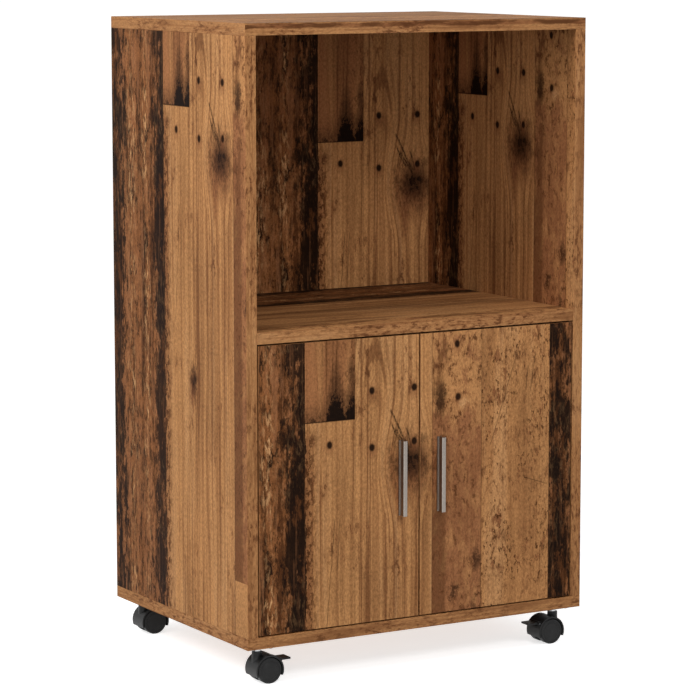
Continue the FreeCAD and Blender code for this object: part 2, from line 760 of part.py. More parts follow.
def make_castor_hood(name, sign, x, y, with_brake):
    """Moulded hood: a rim over both treads, a web between the wheels and a boss for the stem."""
    body = new_body(name + "_hood")
    disc = new_sketch(body, "XZ_Plane")
    circles(disc, [("0", "0")], "hood_radius")
    pad(body, disc, "2 * hood_half_width", midplane=True)
    boss = new_sketch(body, "XY_Plane", "boss_foot - wheel_radius")
    circles(boss, [("-castor_trail", "0")], "boss_radius")
    pad(body, boss, "boss_top - boss_foot")
    for offset, along_normal in (("hood_web / 2", True), ("-hood_web / 2", False)):
        bores(body, "XZ_Plane", offset, [("0", "0")], "hood_inner_radius", "hood_half_width", along_normal)
    skirt = new_sketch(body, "XZ_Plane")
    rectangle(skirt, "-2 * hood_radius", "-2 * hood_radius", "2 * hood_radius", "-hood_skirt")
    pocket(body, skirt, "2 * hood_half_width + 2", midplane=True)
    bores(body, "XY_Plane", "boss_top - wheel_radius", [("-castor_trail", "0")],
          "stem_radius + running_fit", "boss_top - stem_bottom")
    axle_hole = new_sketch(body, "XZ_Plane")
    circles(axle_hole, [("0", "0")], "axle_radius")
    pocket(body, axle_hole, "2 * hood_web", midplane=True)
    if with_brake:
        pivot = ("brake_reach * cos(brake_angle * 1 deg)", "brake_reach * sin(brake_angle * 1 deg)")
        window = new_sketch(body, "XZ_Plane")
        circles(window, [pivot], "brake_eye_radius + 2 * brake_play")
        pocket(body, window, "brake_width + 2 * brake_play", midplane=True)
        inner = "brake_width / 2 + brake_play"
        for offset, backwards in ((inner, False), ("-(" + inner + ")", True)):
            lug = new_sketch(body, "XZ_Plane", offset)
            circles(lug, [pivot], "brake_eye_radius - brake_play")
            pad(body, lug, "brake_lug", reverse=backwards)
        pin_hole = new_sketch(body, "XZ_Plane")
        circles(pin_hole, [pivot], "brake_pin_radius")
        pocket(body, pin_hole, "3 * brake_width", midplane=True)
    return place(body, axle_x(sign, x), y, "wheel_radius", castor_turn(sign))


def make_castor_axle(name, sign, x, y):
    """Steel axle, pressed into the hood's web."""
    body = new_body(name + "_axle")
    sketch = new_sketch(body, "XZ_Plane")
    circles(sketch, [("0", "0")], "axle_radius")
    pad(body, sketch, "2 * axle_half_length", midplane=True)
    return place(body, axle_x(sign, x), y, "wheel_radius", castor_turn(sign))


def make_castor_wheel(name, which, outward, sign, x, y):
    """One wheel of a pair, closed on its outer face, with a blind bore for the axle."""
    body = new_body(name + "_" + which + "_wheel")
    sketch = new_sketch(body, "XY_Plane")
    bore = "axle_radius + running_fit"
    points = [(bore, "wheel_inner"), ("wheel_radius - wheel_chamfer", "wheel_inner"),
              ("wheel_radius", "wheel_inner + wheel_chamfer"),
              ("wheel_radius", "wheel_outer - wheel_chamfer"),
              ("wheel_radius - wheel_chamfer", "wheel_outer"), ("0", "wheel_outer"),
              ("0", "axle_half_length + stem_play"), (bore, "axle_half_length + stem_play")]
    polygon(sketch, [(px, "%d * (%s)" % (outward, py)) for px, py in points])
    turned = body.newObject("PartDesign::Revolution", "Turned")
    turned.Profile = sketch
    turned.ReferenceAxis = (sketch, ["V_Axis"])
    turned.Angle = 360
    body.Tip = turned
    return place(body, axle_x(sign, x), y, "wheel_radius", castor_turn(sign))


def brake_pivot_place(sign, x):
    """Place of the brake lever's pin across the stand."""
    reach = "brake_reach * cos(brake_angle * 1 deg)"
    return axle_x(sign, x) + (" + " if sign < 0 else " - ") + reach


def make_brake_lever(name, sign, x, y):
    """Foot lever: an eye between the hood's lugs and a flat tread plate."""
    body = new_body(name + "_brake_lever")
    eye = new_sketch(body, "XZ_Plane")
    circles(eye, [("0", "0")], "brake_eye_radius")
    pad(body, eye, "brake_width", midplane=True)
    plate = new_sketch(body, "XZ_Plane")
    half = "brake_thickness / 2"
    rectangle(plate, "0", "-" + half, "brake_length", half)
    pad(body, plate, "brake_width", midplane=True)
    bore = new_sketch(body, "XZ_Plane")
    circles(bore, [("0", "0")], "brake_pin_radius + running_fit")
    pocket(body, bore, "2 * brake_width", midplane=True)
    return place(body, brake_pivot_place(sign, x), y,
                 "wheel_radius + brake_reach * sin(brake_angle * 1 deg)", castor_turn(sign))


def make_brake_pin(name, sign, x, y):
    """Pin through the hood's lugs and the lever's eye."""
    body = new_body(name + "_brake_pin")
    sketch = new_sketch(body, "XZ_Plane")
    circles(sketch, [("0", "0")], "brake_pin_radius")
    pad(body, sketch, "brake_width + 2 * brake_play + 2 * brake_lug", midplane=True)
    return place(body, brake_pivot_place(sign, x), y,
                 "wheel_radius + brake_reach * sin(brake_angle * 1 deg)", castor_turn(sign))


def make_castor_screws():
    """Four pan-head screws for each castor plate."""
    half_spacing = size("castor_screw_spacing") / 2
    x_axis = size("width") / 2 - size("castor_side_inset")
    first, last = size("castor_end_inset"), size("depth") - size("castor_end_inset")
    solids = []
    for side in (-1, 1):
        for end in (first, last):
            for dx in (-half_spacing, half_spacing):
                for dy in (-half_spacing, half_spacing):
                    face = Vector(side * x_axis + dx, front_y() + end + dy,
                                  size("castor_height") - size("castor_plate_thickness"))
                    shank = Part.makeCylinder(size("castor_screw_radius"),
                                              size("castor_screw_length"), face)
                    head = Part.makeCylinder(SCREW_HEAD, SCREW_HEAD_HEIGHT, face, Vector(0, 0, -1))
                    solids.append(shank.fuse(head).removeSplitter())
    return shape_node("castor_screws", Part.Compound(solids))


def make_castors():
    """Four castors, the front two with brakes."""
    for end, side, sign, x, y in castor_places():
        name = "%s_%s_castor" % (end, side)
        make_castor_plate(name, sign, x, y)
        make_castor_stem(name, sign, x, y)
        make_castor_hood(name, sign, x, y, with_brake=end == "front")
        make_castor_axle(name, sign, x, y)
        make_castor_wheel(name, "near", -1, sign, x, y)
        make_castor_wheel(name, "far", 1, sign, x, y)
        if end == "front":
            make_brake_lever(name, sign, x, y)
            make_brake_pin(name, sign, x, y)
    make_castor_screws()


def check_document():
    """Stop on a failed feature, a cut that removed nothing, or a bad solid."""
    for item in doc.Objects:
        if "Invalid" in item.State or "Error" in item.State:
            raise RuntimeError("%s of %s failed" % (item.Name, item.Label))
        if item.TypeId == "PartDesign::Pocket":
            before = item.BaseFeature.Shape.Volume
            if before - item.Shape.Volume < 1e-3:
                raise RuntimeError("%s cuts nothing" % item.Name)
    for item in nodes:
        if item.Shape.isNull() or not item.Shape.isValid() or not item.Shape.Solids:
            raise RuntimeError("%s has no valid solid" % item.Label)


make_bottom_panel()
make_side_panel("left_side_panel", "board", False, "-width / 2")
make_side_panel("right_side_panel", "0", True, "width / 2 - board")
make_middle_shelf()
make_back_panel()
make_top_panel()
make_dowels()
make_cams()
make_cam_bolts()
make_carcass_screws()
for door_side in ("left", "right"):
    make_door(door_side)
    make_handle(door_side)
    make_handle_screws(door_side)
    make_hinges(door_side)
make_castors()
doc.recompute()
check_document()

os.makedirs("parts", exist_ok=True)
for node in nodes:
    node.Shape.exportStep("parts/%s.step" % node.Label)
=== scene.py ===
"""Looks of a mobile printer stand: old-plank print, satin pulls, black castors and hardware."""

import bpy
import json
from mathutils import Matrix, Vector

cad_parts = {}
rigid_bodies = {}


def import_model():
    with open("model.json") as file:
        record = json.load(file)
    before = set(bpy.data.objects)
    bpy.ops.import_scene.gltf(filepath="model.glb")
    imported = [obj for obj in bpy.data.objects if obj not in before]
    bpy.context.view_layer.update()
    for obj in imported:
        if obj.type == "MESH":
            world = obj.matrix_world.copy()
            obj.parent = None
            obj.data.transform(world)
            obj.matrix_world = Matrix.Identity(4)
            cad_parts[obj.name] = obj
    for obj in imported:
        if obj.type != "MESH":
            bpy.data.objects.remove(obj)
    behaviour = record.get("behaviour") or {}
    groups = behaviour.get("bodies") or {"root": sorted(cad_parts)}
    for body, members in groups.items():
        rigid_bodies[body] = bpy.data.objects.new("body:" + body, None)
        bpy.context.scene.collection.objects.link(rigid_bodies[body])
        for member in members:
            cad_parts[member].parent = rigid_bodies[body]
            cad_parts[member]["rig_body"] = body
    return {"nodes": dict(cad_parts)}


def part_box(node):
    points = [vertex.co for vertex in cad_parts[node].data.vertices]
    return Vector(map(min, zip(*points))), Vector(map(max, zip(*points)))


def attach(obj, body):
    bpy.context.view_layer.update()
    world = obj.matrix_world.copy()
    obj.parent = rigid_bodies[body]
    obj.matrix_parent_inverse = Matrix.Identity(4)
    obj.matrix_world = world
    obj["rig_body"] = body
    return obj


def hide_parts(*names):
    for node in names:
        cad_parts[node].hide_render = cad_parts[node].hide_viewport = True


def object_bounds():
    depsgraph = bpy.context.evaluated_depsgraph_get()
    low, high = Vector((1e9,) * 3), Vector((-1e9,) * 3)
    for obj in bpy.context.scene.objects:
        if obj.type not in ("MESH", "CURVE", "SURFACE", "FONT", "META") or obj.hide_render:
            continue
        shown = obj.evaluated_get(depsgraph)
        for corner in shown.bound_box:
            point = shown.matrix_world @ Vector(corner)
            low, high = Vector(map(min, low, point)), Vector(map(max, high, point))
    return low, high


bl_info = {
    "name": "Printer Stand Looks",
    "version": (1, 0, 0),
    "blender": (4, 5, 0),
    "location": "View3D > Sidebar > Stand",
    "description": "Finishes the boards, doors, pulls, hinges and castors of a mobile printer stand",
    "category": "Object",
}

import json
import math

import bmesh
import bpy
from mathutils import Vector

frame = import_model()
CAD_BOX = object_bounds()

MM = 0.001
TOUCHING = 1e-6
CASTORS = ("front_left", "front_right", "rear_left", "rear_right")
SIDES = ("left", "right")
FRONT_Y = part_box("top_panel")[0].y


# Node graphs --------------------------------------------------------------------------------


class Field:
    """A node socket that takes part in arithmetic: each operator adds a Math node."""

    def __init__(self, graph, socket):
        self.graph = graph
        self.socket = socket

    def math(self, operation, *others):
        return self.graph.node("ShaderNodeMath", {"operation": operation}, [self, *others])

    def __add__(self, other):
        return self.math("ADD", other)

    def __radd__(self, other):
        return self.math("ADD", other)

    def __sub__(self, other):
        return self.math("SUBTRACT", other)

    def __rsub__(self, other):
        return self.graph.node("ShaderNodeMath", {"operation": "SUBTRACT"}, [other, self])

    def __mul__(self, other):
        return self.math("MULTIPLY", other)

    def __rmul__(self, other):
        return self.math("MULTIPLY", other)

    def __truediv__(self, other):
        return self.math("DIVIDE", other)

    def above(self, edge):
        return self.math("GREATER_THAN", edge)

    def below(self, edge):
        return self.math("LESS_THAN", edge)

    def at_least(self, other):
        return self.math("MAXIMUM", other)

    def size(self):
        return self.math("ABSOLUTE")

    def ramp(self, low, high):
        """Smooth step from 0 at low to 1 at high; low may be the larger."""
        settings = {"interpolation_type": "SMOOTHSTEP"}
        return self.graph.node("ShaderNodeMapRange", settings,
                               {"Value": self, "From Min": low, "From Max": high})


class Graph:
    """A node tree being written."""

    def __init__(self, tree):
        self.tree = tree

    def wire(self, socket, value):
        if isinstance(value, Field):
            self.tree.links.new(value.socket, socket)
        elif hasattr(socket.default_value, "__len__") and not hasattr(value, "__len__"):
            socket.default_value = [value] * len(socket.default_value)
        else:
            socket.default_value = value

    def node(self, kind, settings=None, inputs=None, output=0):
        """Add a node: settings first, then its inputs by name or in order; gives one output."""
        node = self.tree.nodes.new(kind)
        for name, value in (settings or {}).items():
            setattr(node, name, value)
        pairs = inputs.items() if isinstance(inputs, dict) else enumerate(inputs or [])
        for key, value in pairs:
            self.wire(node.inputs[key], value)
        return Field(self, node.outputs[output])

    def mix(self, first, second, factor, mode="MIX"):
        """Mix two colours."""
        node = self.tree.nodes.new("ShaderNodeMix")
        node.data_type = "RGBA"
        node.blend_type = mode
        self.wire(node.inputs["Factor"], factor)
        for socket, value in ((node.inputs[6], first), (node.inputs[7], second)):
            self.wire(socket, value if isinstance(value, Field) else (*value[:3], 1.0))
        return Field(self, node.outputs[2])

    def toned(self, color, tone):
        """Multiply a colour by a grey tone."""
        grey = self.node("ShaderNodeCombineColor", None, [tone, tone, tone])
        return self.mix(color, grey, 1.0, "MULTIPLY")

    def noise(self, u, v, across, along, detail=3.0, seed=0.0, rough=0.55):
        """Noise whose blobs are 1/across wide and 1/along long, from 0 to 1."""
        place = self.node("ShaderNodeCombineXYZ", None, [u * across, v * along, seed])
        return self.node("ShaderNodeTexNoise", None,
                         {"Vector": place, "Scale": 1.0, "Detail": detail, "Roughness": rough})

    def spot(self, u, v, place, radii, soft=0.35):
        """1 inside an ellipse, fading to 0 past its rim."""
        x = (u - place[0]) / radii[0]
        y = (v - place[1]) / radii[1]
        return (x * x + y * y).math("SQRT").ramp(1.0 + soft, 1.0 - soft)

    def stroke(self, u, v, start, end, width):
        """1 on a straight stroke between two places, fading at its sides."""
        dx, dy = end[0] - start[0], end[1] - start[1]
        length = math.hypot(dx, dy)
        x, y = dx / length, dy / length
        along = (u - start[0]) * x + (v - start[1]) * y
        aside = ((v - start[1]) * x - (u - start[0]) * y).size()
        within = along.ramp(-0.002, 0.004) * along.ramp(length + 0.002, length - 0.004)
        return aside.ramp(width, width * 0.3) * within


def new_material(name):
    """Start an empty material; gives it, its graph and its shader."""
    material = bpy.data.materials.new(name)
    material.use_nodes = True
    tree = material.node_tree
    tree.nodes.clear()
    graph = Graph(tree)
    shader = tree.nodes.new("ShaderNodeBsdfPrincipled")
    output = tree.nodes.new("ShaderNodeOutputMaterial")
    tree.links.new(shader.outputs[0], output.inputs[0])
    return material, graph, shader


def object_axes(graph):
    """Object coordinates as three fields."""
    place = graph.node("ShaderNodeTexCoord", None, None, output="Object")
    split = graph.tree.nodes.new("ShaderNodeSeparateXYZ")
    graph.tree.links.new(place.socket, split.inputs[0])
    return [Field(graph, socket) for socket in split.outputs]


def grain_axes(graph, along):
    """Object coordinates along a grain that follows one axis, and across it."""
    axes = dict(zip("XYZ", object_axes(graph)))
    lengthwise = axes.pop(along)
    return lengthwise, sum(axes.values(), 0.0)


def shaded(color, share):
    """A colour made darker, or lighter when share is above 1."""
    return [channel * share for channel in color]


def bump(graph, shader, height, strength, distance):
    """Raise the surface by a height field."""
    normal = graph.node("ShaderNodeBump", None,
                        {"Height": height, "Strength": strength, "Distance": distance}, output="Normal")
    graph.wire(shader.inputs["Normal"], normal)


# The plank print ----------------------------------------------------------------------------
# One sheet of print is used on every board. U runs across the planks and V along them, in
# metres, from the corner where the dark plank, the short plank and the first pale one meet.
# Each feature has its place, then its radii, in these two directions.

SHEET = 0.622
# Each face's print: the axis and sense that U follows, the same for V, and U and V at the origin.
PLACEMENTS = {
    "PrintSideOuter": (("Y", -1), ("Z", 1), (FRONT_Y + 0.2623, -0.8587)),
    "PrintSideInner": (("Y", -1), ("Z", 1), (FRONT_Y + 0.3366, -0.857)),
    "PrintTop": (("Y", -1), ("X", 1), (0.235, 1.62)),
    "PrintUnder": (("Y", -1), ("X", 1), (0.31, -2.4)),
    "PrintShelf": (("Y", -1), ("X", 1), (0.058, 2.9)),
    "PrintBack": (("X", 1), ("Z", 1), (-0.068, -0.777)),
    "PrintDoors": (("X", 1), ("Z", 1), (0.2018, -0.393)),
    "PrintDoorInside": (("X", -1), ("Z", 1), (0.36, -0.62)),
}
# Each edge band's grain axis and its seed.
BANDS = {"BandUpright": ("Z", 2.0), "BandLevel": ("X", 14.0), "BandDeep": ("Y", 26.0),
         "BandTopFront": ("X", 38.0)}
STUB_LENGTH = 0.36   # how far the short plank's stub runs up the sheet
BROWN_FOOT = -0.700  # where the brown plank gives way to a paler one
LYING = 1.0          # the sheet above this is laid on the lying boards only
PALE_END, WARM_END, BROWN_END, GREY_END = 0.0872, 0.2245, 0.314, 0.440
NAILS = ((0.117, 0.041), (0.192, 0.041), (0.117, -0.046), (0.192, -0.042), (0.043, -0.036),
         (0.269, 0.102), (0.271, 0.020))
SCRATCHES = (((0.385, 0.098), (0.330, -0.062)), ((0.392, -0.116), (0.437, -0.131)),
             ((0.414, 0.080), (0.404, 0.020)), ((0.052, -0.150), (0.036, -0.330)),
             ((0.060, -0.150), (0.056, -0.230)), ((0.400, 0.060), (0.396, 0.020)))
FEATHERS = (((0.150, 0.010), (0.180, -0.050)), ((0.158, -0.020), (0.184, -0.060)),
            ((0.150, -0.010), (0.170, -0.046)), ((0.178, -0.020), (0.188, -0.052)))
KNOTS = (((0.186, -0.072), (0.016, 0.022)), ((0.0955, -0.415), (0.005, 0.014)))
BLOBS = (((0.305, -0.237), (0.007, 0.016)), ((0.264, -0.284), (0.006, 0.012)),
         ((0.240, 0.020), (0.008, 0.022)), ((0.300, -0.330), (0.004, 0.030)))
RING_PLACE = (0.254, 0.088)


def warp_round_knots(graph, u, v):
    """Bend the grain: slow waves everywhere, and a bulge round each knot."""
    bent = u + (graph.noise(u, v, 7.0, 1.3, 2.0, 3.1) - 0.5) * 0.020
    bent = bent + (graph.noise(u, v, 34.0, 7.0, 2.0, 7.7) - 0.5) * 0.004
    for (x, y), (rx, ry) in KNOTS:
        pull = graph.spot(u, v, (x, y), (rx * 2.6, ry * 2.8), 0.9)
        bent = bent - (u - x) * pull * 0.75
    return bent


def plank_masks(graph, across, v):
    """Place across one sheet, and masks of the planks that follow the first."""
    cell = across - (across / SHEET).math("FLOOR") * SHEET
    ragged = (graph.noise(v, v, 55.0, 16.0, 4.0, 5.0) - 0.42) * 0.016 * v.ramp(0.0, -0.05)
    return {
        "cell": cell,
        "warm": cell.above(PALE_END),
        "brown": cell.above(WARM_END) * cell.below(BROWN_END),
        "grey": cell.above(BROWN_END),
        "dark": cell.above(GREY_END).at_least((cell - ragged).below(0.0007)),
        "stub": cell.below(PALE_END) * v.above(0.0) * v.below(STUB_LENGTH) * cell.above(0.0007),
    }


def pale_planks(graph, looks, masks, u, v, grain):
    """The first, wide and speckled planks, which share one kind of wood."""
    color = graph.mix(looks.pale, looks.warm, masks["warm"])
    color = graph.mix(color, looks.grey, masks["grey"])
    zones = graph.noise(u, v, 15.0, 1.2, 1.5, 10.0).ramp(0.38, 0.58)
    color = graph.mix(color, looks.wear, grain["broad"].ramp(0.50, 0.66) * 0.44)
    color = graph.mix(color, looks.streak, grain["broad"].ramp(0.50, 0.36) * 0.34)
    calm = 1.0 - masks["grey"] * 0.62
    color = graph.mix(color, looks.streak, grain["lines"] * (0.36 + zones * 0.54) * calm)
    wide = graph.noise(grain["bent"], v, 70.0, 1.1, 3.0, 9.0, 0.6)
    color = graph.mix(color, looks.streak, wide.ramp(0.52, 0.66) * 0.42 * calm)
    color = graph.mix(color, looks.wear, wide.ramp(0.47, 0.36) * 0.28)
    # The stretch of the sheet that covers the lying boards is streaked more boldly.
    bold = graph.noise(grain["bent"], v, 27.0, 1.5, 5.0, 17.0, 0.66).ramp(0.50, 0.60) * v.above(LYING)
    color = graph.mix(color, looks.dark, bold * 0.55)
    arch = (u - 0.124) * (u - 0.124) * 5200.0 + v * 30.0 + grain["broad"] * 9.0
    figured = graph.spot(u, v, (0.122, 0.078), (0.026, 0.052), 0.7)
    rings = (arch * 2.6).math("SINE").ramp(-0.1, 0.7) * figured
    color = graph.mix(color, looks.streak, rings * 0.80)
    smudge = graph.noise(u, v, 96.0, 32.0, 5.0, 11.0, 0.74)
    rusty = graph.noise(u, v, 16.0, 8.0, 3.0, 12.0, 0.6).ramp(0.50, 0.64)
    rusty = rusty.at_least(graph.spot(u, v, (0.103, 0.085), (0.018, 0.060), 0.7))
    rusty = rusty.at_least(masks["grey"] * 0.5)
    color = graph.mix(color, looks.rust, smudge.ramp(0.46, 0.66) * (rusty * 0.50 + 0.14))
    color = graph.mix(color, looks.dark, smudge.ramp(0.56, 0.61) * rusty * 0.62)
    flecks = graph.noise(u, v, 205.0, 90.0, 4.0, 13.0, 0.70).ramp(0.56, 0.60)
    crowd = graph.noise(u, v, 17.0, 11.0, 2.0, 15.0).ramp(0.36, 0.56)
    cluster = graph.spot(u, v, (0.346, -0.179), (0.020, 0.034), 0.8)
    cluster = graph.spot(u, v, (0.428, 0.020), (0.018, 0.090), 0.9).at_least(cluster)
    crowd = (crowd * (0.10 + masks["grey"] * 0.80)).at_least(cluster)
    blot = graph.noise(u, v, 62.0, 30.0, 5.0, 14.0, 0.72).ramp(0.55, 0.60)
    color = graph.mix(color, looks.rust, blot * crowd * 0.80)
    return graph.mix(color, looks.dark, flecks * crowd)


def brown_plank(graph, looks, u, v, grain):
    """The brown plank: a darker left strip, rusty clusters, blobs and an oval ring."""
    color = graph.mix(looks.brown, looks.streak, grain["lines"] * 0.40)
    paler = graph.noise(u, v, 40.0, 16.0, 5.0, 21.0, 0.72)
    upper = v.ramp(-0.050, 0.030)
    pale_share = (paler + upper * 0.14).ramp(0.48, 0.62) * (0.50 + upper * 0.40)
    color = graph.mix(color, looks.warm, pale_share)
    shade = u.ramp(0.251, 0.246) * v.ramp(-0.110, -0.160)
    torn = graph.noise(u, v, 60.0, 14.0, 4.0, 16.0, 0.7).ramp(0.44, 0.54)
    shade = shade.at_least(u.ramp(0.256, 0.244) * torn)
    color = graph.mix(color, looks.dark, shade * 0.60)
    rust = graph.noise(u, v, 95.0, 52.0, 5.0, 19.0, 0.74)
    rusty = graph.noise(u, v, 14.0, 7.0, 2.0, 22.0).ramp(0.36, 0.54)
    color = graph.mix(color, looks.rust, rust.ramp(0.46, 0.62) * 0.45)
    color = graph.mix(color, looks.dark, rust.ramp(0.55, 0.60) * (0.14 + rusty * 0.60))
    wobble = (graph.noise(u, v, 130.0, 80.0, 5.0, 18.0, 0.75) - 0.5) * 0.050
    for place, radii in BLOBS:
        blob = graph.spot(u + wobble, v + wobble, place, radii, 0.6)
        color = graph.mix(color, looks.soot, blob * 0.72)
    ring = graph.spot(u + wobble * 0.3, v, RING_PLACE, (0.006, 0.010), 0.3)
    ring = ring * (1.0 - graph.spot(u + wobble * 0.3, v, RING_PLACE, (0.0035, 0.0065), 0.4))
    color = graph.mix(color, looks.dark, ring * 0.6)
    rubbed = graph.spot(u + wobble, v, (0.280, 0.010), (0.006, 0.007), 0.7)
    color = graph.mix(color, looks.wear, rubbed * 0.8)
    return graph.mix(color, looks.warm, v.below(BROWN_FOOT) * 0.9)


def dark_plank(graph, looks, u, v, grain):
    """The weathered plank: reddish middle, black bands, and pale chips in columns."""
    from_edge = SHEET - u
    bands = graph.noise(grain["bent"], v, 34.0, 1.9, 4.0, 23.0, 0.62)
    grit = graph.noise(u, v, 170.0, 62.0, 5.0, 25.0, 0.76)
    middle = graph.spot(from_edge, v * 0.0, (0.090, 0.0), (0.050, 1.0), 0.6)
    mottled = graph.noise(grain["bent"], v, 92.0, 24.0, 6.0, 26.0, 0.80)
    reddish = bands + middle * 0.10 + (grit - 0.5) * 0.6
    color = graph.mix(looks.dark, looks.ember, reddish.ramp(0.44, 0.58) * 0.90)
    color = graph.mix(color, looks.brown, (bands * 0.4 + mottled * 0.6).ramp(0.50, 0.56) * 0.75)
    edge_band = from_edge.ramp(0.046, 0.020).at_least(from_edge.ramp(0.118, 0.140) * 0.7)
    black = edge_band * 0.11 + graph.noise(u, v, 44.0, 12.0, 4.0, 29.0, 0.66) * 0.55 + grit * 0.45
    color = graph.mix(color, looks.soot, black.ramp(0.53, 0.60) * 0.95)
    color = graph.mix(color, looks.soot, mottled.ramp(0.49, 0.43) * 0.70)
    tan_lines = graph.noise(grain["bent"], v, 120.0, 6.0, 4.0, 32.0, 0.68).ramp(0.54, 0.62)
    color = graph.mix(color, looks.brown, tan_lines * (0.16 + middle * 0.46))
    drift = (graph.noise(v, v, 8.0, 3.0, 3.0, 31.0) - 0.5) * 0.036
    column = graph.spot(from_edge + drift, v * 0.0, (0.062, 0.0), (0.008, 1.0), 0.7)
    column = column.at_least(graph.spot(from_edge - drift, v * 0.0, (0.112, 0.0), (0.012, 1.0), 0.7))
    chips = graph.noise(u + drift, v, 190.0, 42.0, 5.0, 33.0, 0.72).ramp(0.50, 0.60)
    patchy = graph.noise(u, v, 9.0, 8.0, 2.0, 35.0).ramp(0.42, 0.56)
    color = graph.mix(color, looks.wear, chips * (column * (0.34 + patchy * 0.50) + patchy * 0.12))
    return graph.mix(color, looks.soot, grain["lines"] * 0.22)


def short_plank(graph, looks, u, v, grain):
    """The short plank's stub, with soot climbing from its sawn end."""
    color = graph.mix(looks.stub, looks.streak, grain["lines"] * 0.55)
    pale_lines = graph.noise(grain["bent"], v, 60.0, 2.4, 3.0, 37.0).ramp(0.50, 0.70)
    dark_lines = graph.noise(grain["bent"], v, 34.0, 1.6, 3.0, 38.0).ramp(0.54, 0.70)
    color = graph.mix(color, looks.pale, pale_lines * 0.40)
    color = graph.mix(color, looks.dark, dark_lines * 0.45)
    blots = graph.noise(u, v, 100.0, 50.0, 5.0, 36.0, 0.76).ramp(0.54, 0.60) * u.ramp(0.040, 0.085)
    color = graph.mix(color, looks.dark, blots * 0.70)
    burn = graph.spot(u, v, (0.081, 0.076), (0.005, 0.016), 0.7)
    color = graph.mix(color, looks.soot, burn * 0.5)
    core = graph.spot(u, v * 0.0, (0.046, 0.0), (0.014, 1.0), 0.6)
    color = graph.mix(color, looks.dark, core * grain["lines"].at_least(0.35) * 0.60)
    torn = u + (graph.noise(u, v, 160.0, 90.0, 4.0, 40.0, 0.7) - 0.5) * 0.014
    flame = graph.spot(torn, v * 0.0, (0.054, 0.0), (0.012, 1.0), 0.8) * 0.034
    flame = flame.at_least(graph.spot(torn, v * 0.0, (0.083, 0.0), (0.009, 1.0), 0.8) * 0.026)
    flame = flame + torn.ramp(0.030, 0.048) * 0.008
    licks = (graph.noise(u, v, 210.0, 120.0, 6.0, 39.0, 0.82) - 0.5) * 0.125
    soot = (v - flame - licks).ramp(0.012, -0.010)
    smoke = (v - flame * 1.5 - licks * 0.8).ramp(0.044, -0.010) * 0.62
    return graph.mix(color, looks.soot, soot.at_least(smoke))


def old_marks(graph, looks, color, masks, u, v, speck):
    """Bark pits, seams, knots, cracks and nail holes over the planks; gives colour and depth."""
    bark = u.ramp(0.030, 0.004) * v.ramp(0.0, -0.03) * masks["dark"].below(0.5)
    pits = graph.noise(u, v, 130.0, 64.0, 5.0, 41.0, 0.72).ramp(0.49, 0.54)
    color = graph.mix(color, looks.rust, bark * 0.45)
    color = graph.mix(color, looks.dark, bark * pits)
    seam = (u - BROWN_END).size().ramp(0.0011, 0.0003) * 0.45
    for edge in (PALE_END, WARM_END, GREY_END):
        seam = ((u - edge).size().ramp(0.0011, 0.0003) * 0.28).at_least(seam)
    seam = (v.size().ramp(0.0014, 0.0004) * u.below(PALE_END) * 0.75).at_least(seam)
    color = graph.mix(color, looks.soot, seam)
    for place, radii in KNOTS:
        wobble = (graph.noise(u, v, 95.0, 60.0, 5.0, 43.0, 0.68) - 0.5) * 0.022
        heart = graph.spot(u + wobble, v - wobble, place, (radii[0] * 1.6, radii[1] * 1.25), 0.7)
        heart = heart * pits.at_least(0.80)
        rays = graph.spot(u + wobble, v, place, (radii[0] * 2.4, radii[1] * 1.9), 0.8) * pits
        halo = graph.spot(u + wobble, v, (place[0] - 0.002, place[1] - radii[1] * 0.5),
                          (radii[0] * 2.1, radii[1] * 1.9), 0.85)
        tail = graph.spot(u + wobble, v, (place[0] - radii[0] * 1.1, place[1] - radii[1] * 2.4),
                          (radii[0] * 0.42, radii[1] * 1.7), 0.85)
        color = graph.mix(color, looks.rust, halo * 0.88)
        color = graph.mix(color, looks.rust, tail * 0.66)
        color = graph.mix(color, looks.soot, (rays * 0.85).at_least(heart))
    cracks = 0.0
    sway = (graph.noise(u, v, 60.0, 40.0, 4.0, 45.0) - 0.5) * 0.012
    for start, end in FEATHERS:
        cracks = (graph.stroke(u + sway, v, start, end, 0.0026) * 0.9).at_least(cracks)
    for start, end in SCRATCHES:
        cracks = (graph.stroke(u + sway * 0.5, v, start, end, 0.0011) * 0.7).at_least(cracks)
    cracks = cracks * speck.ramp(0.30, 0.60)
    color = graph.mix(color, looks.soot, cracks)
    holes = 0.0
    stains = 0.0
    for place in NAILS:
        low = (place[0], place[1] - 0.003)
        holes = graph.spot(u + sway * 0.15, v, place, (0.0048, 0.0058), 0.35).at_least(holes)
        stains = graph.spot(u + sway * 0.4, v, low, (0.0062, 0.011), 0.8).at_least(stains)
    color = graph.mix(color, looks.rust, stains * 0.55)
    color = graph.mix(color, looks.soot, holes * 0.96)
    return color, seam * 0.8 + cracks * 0.5 + holes * 0.9


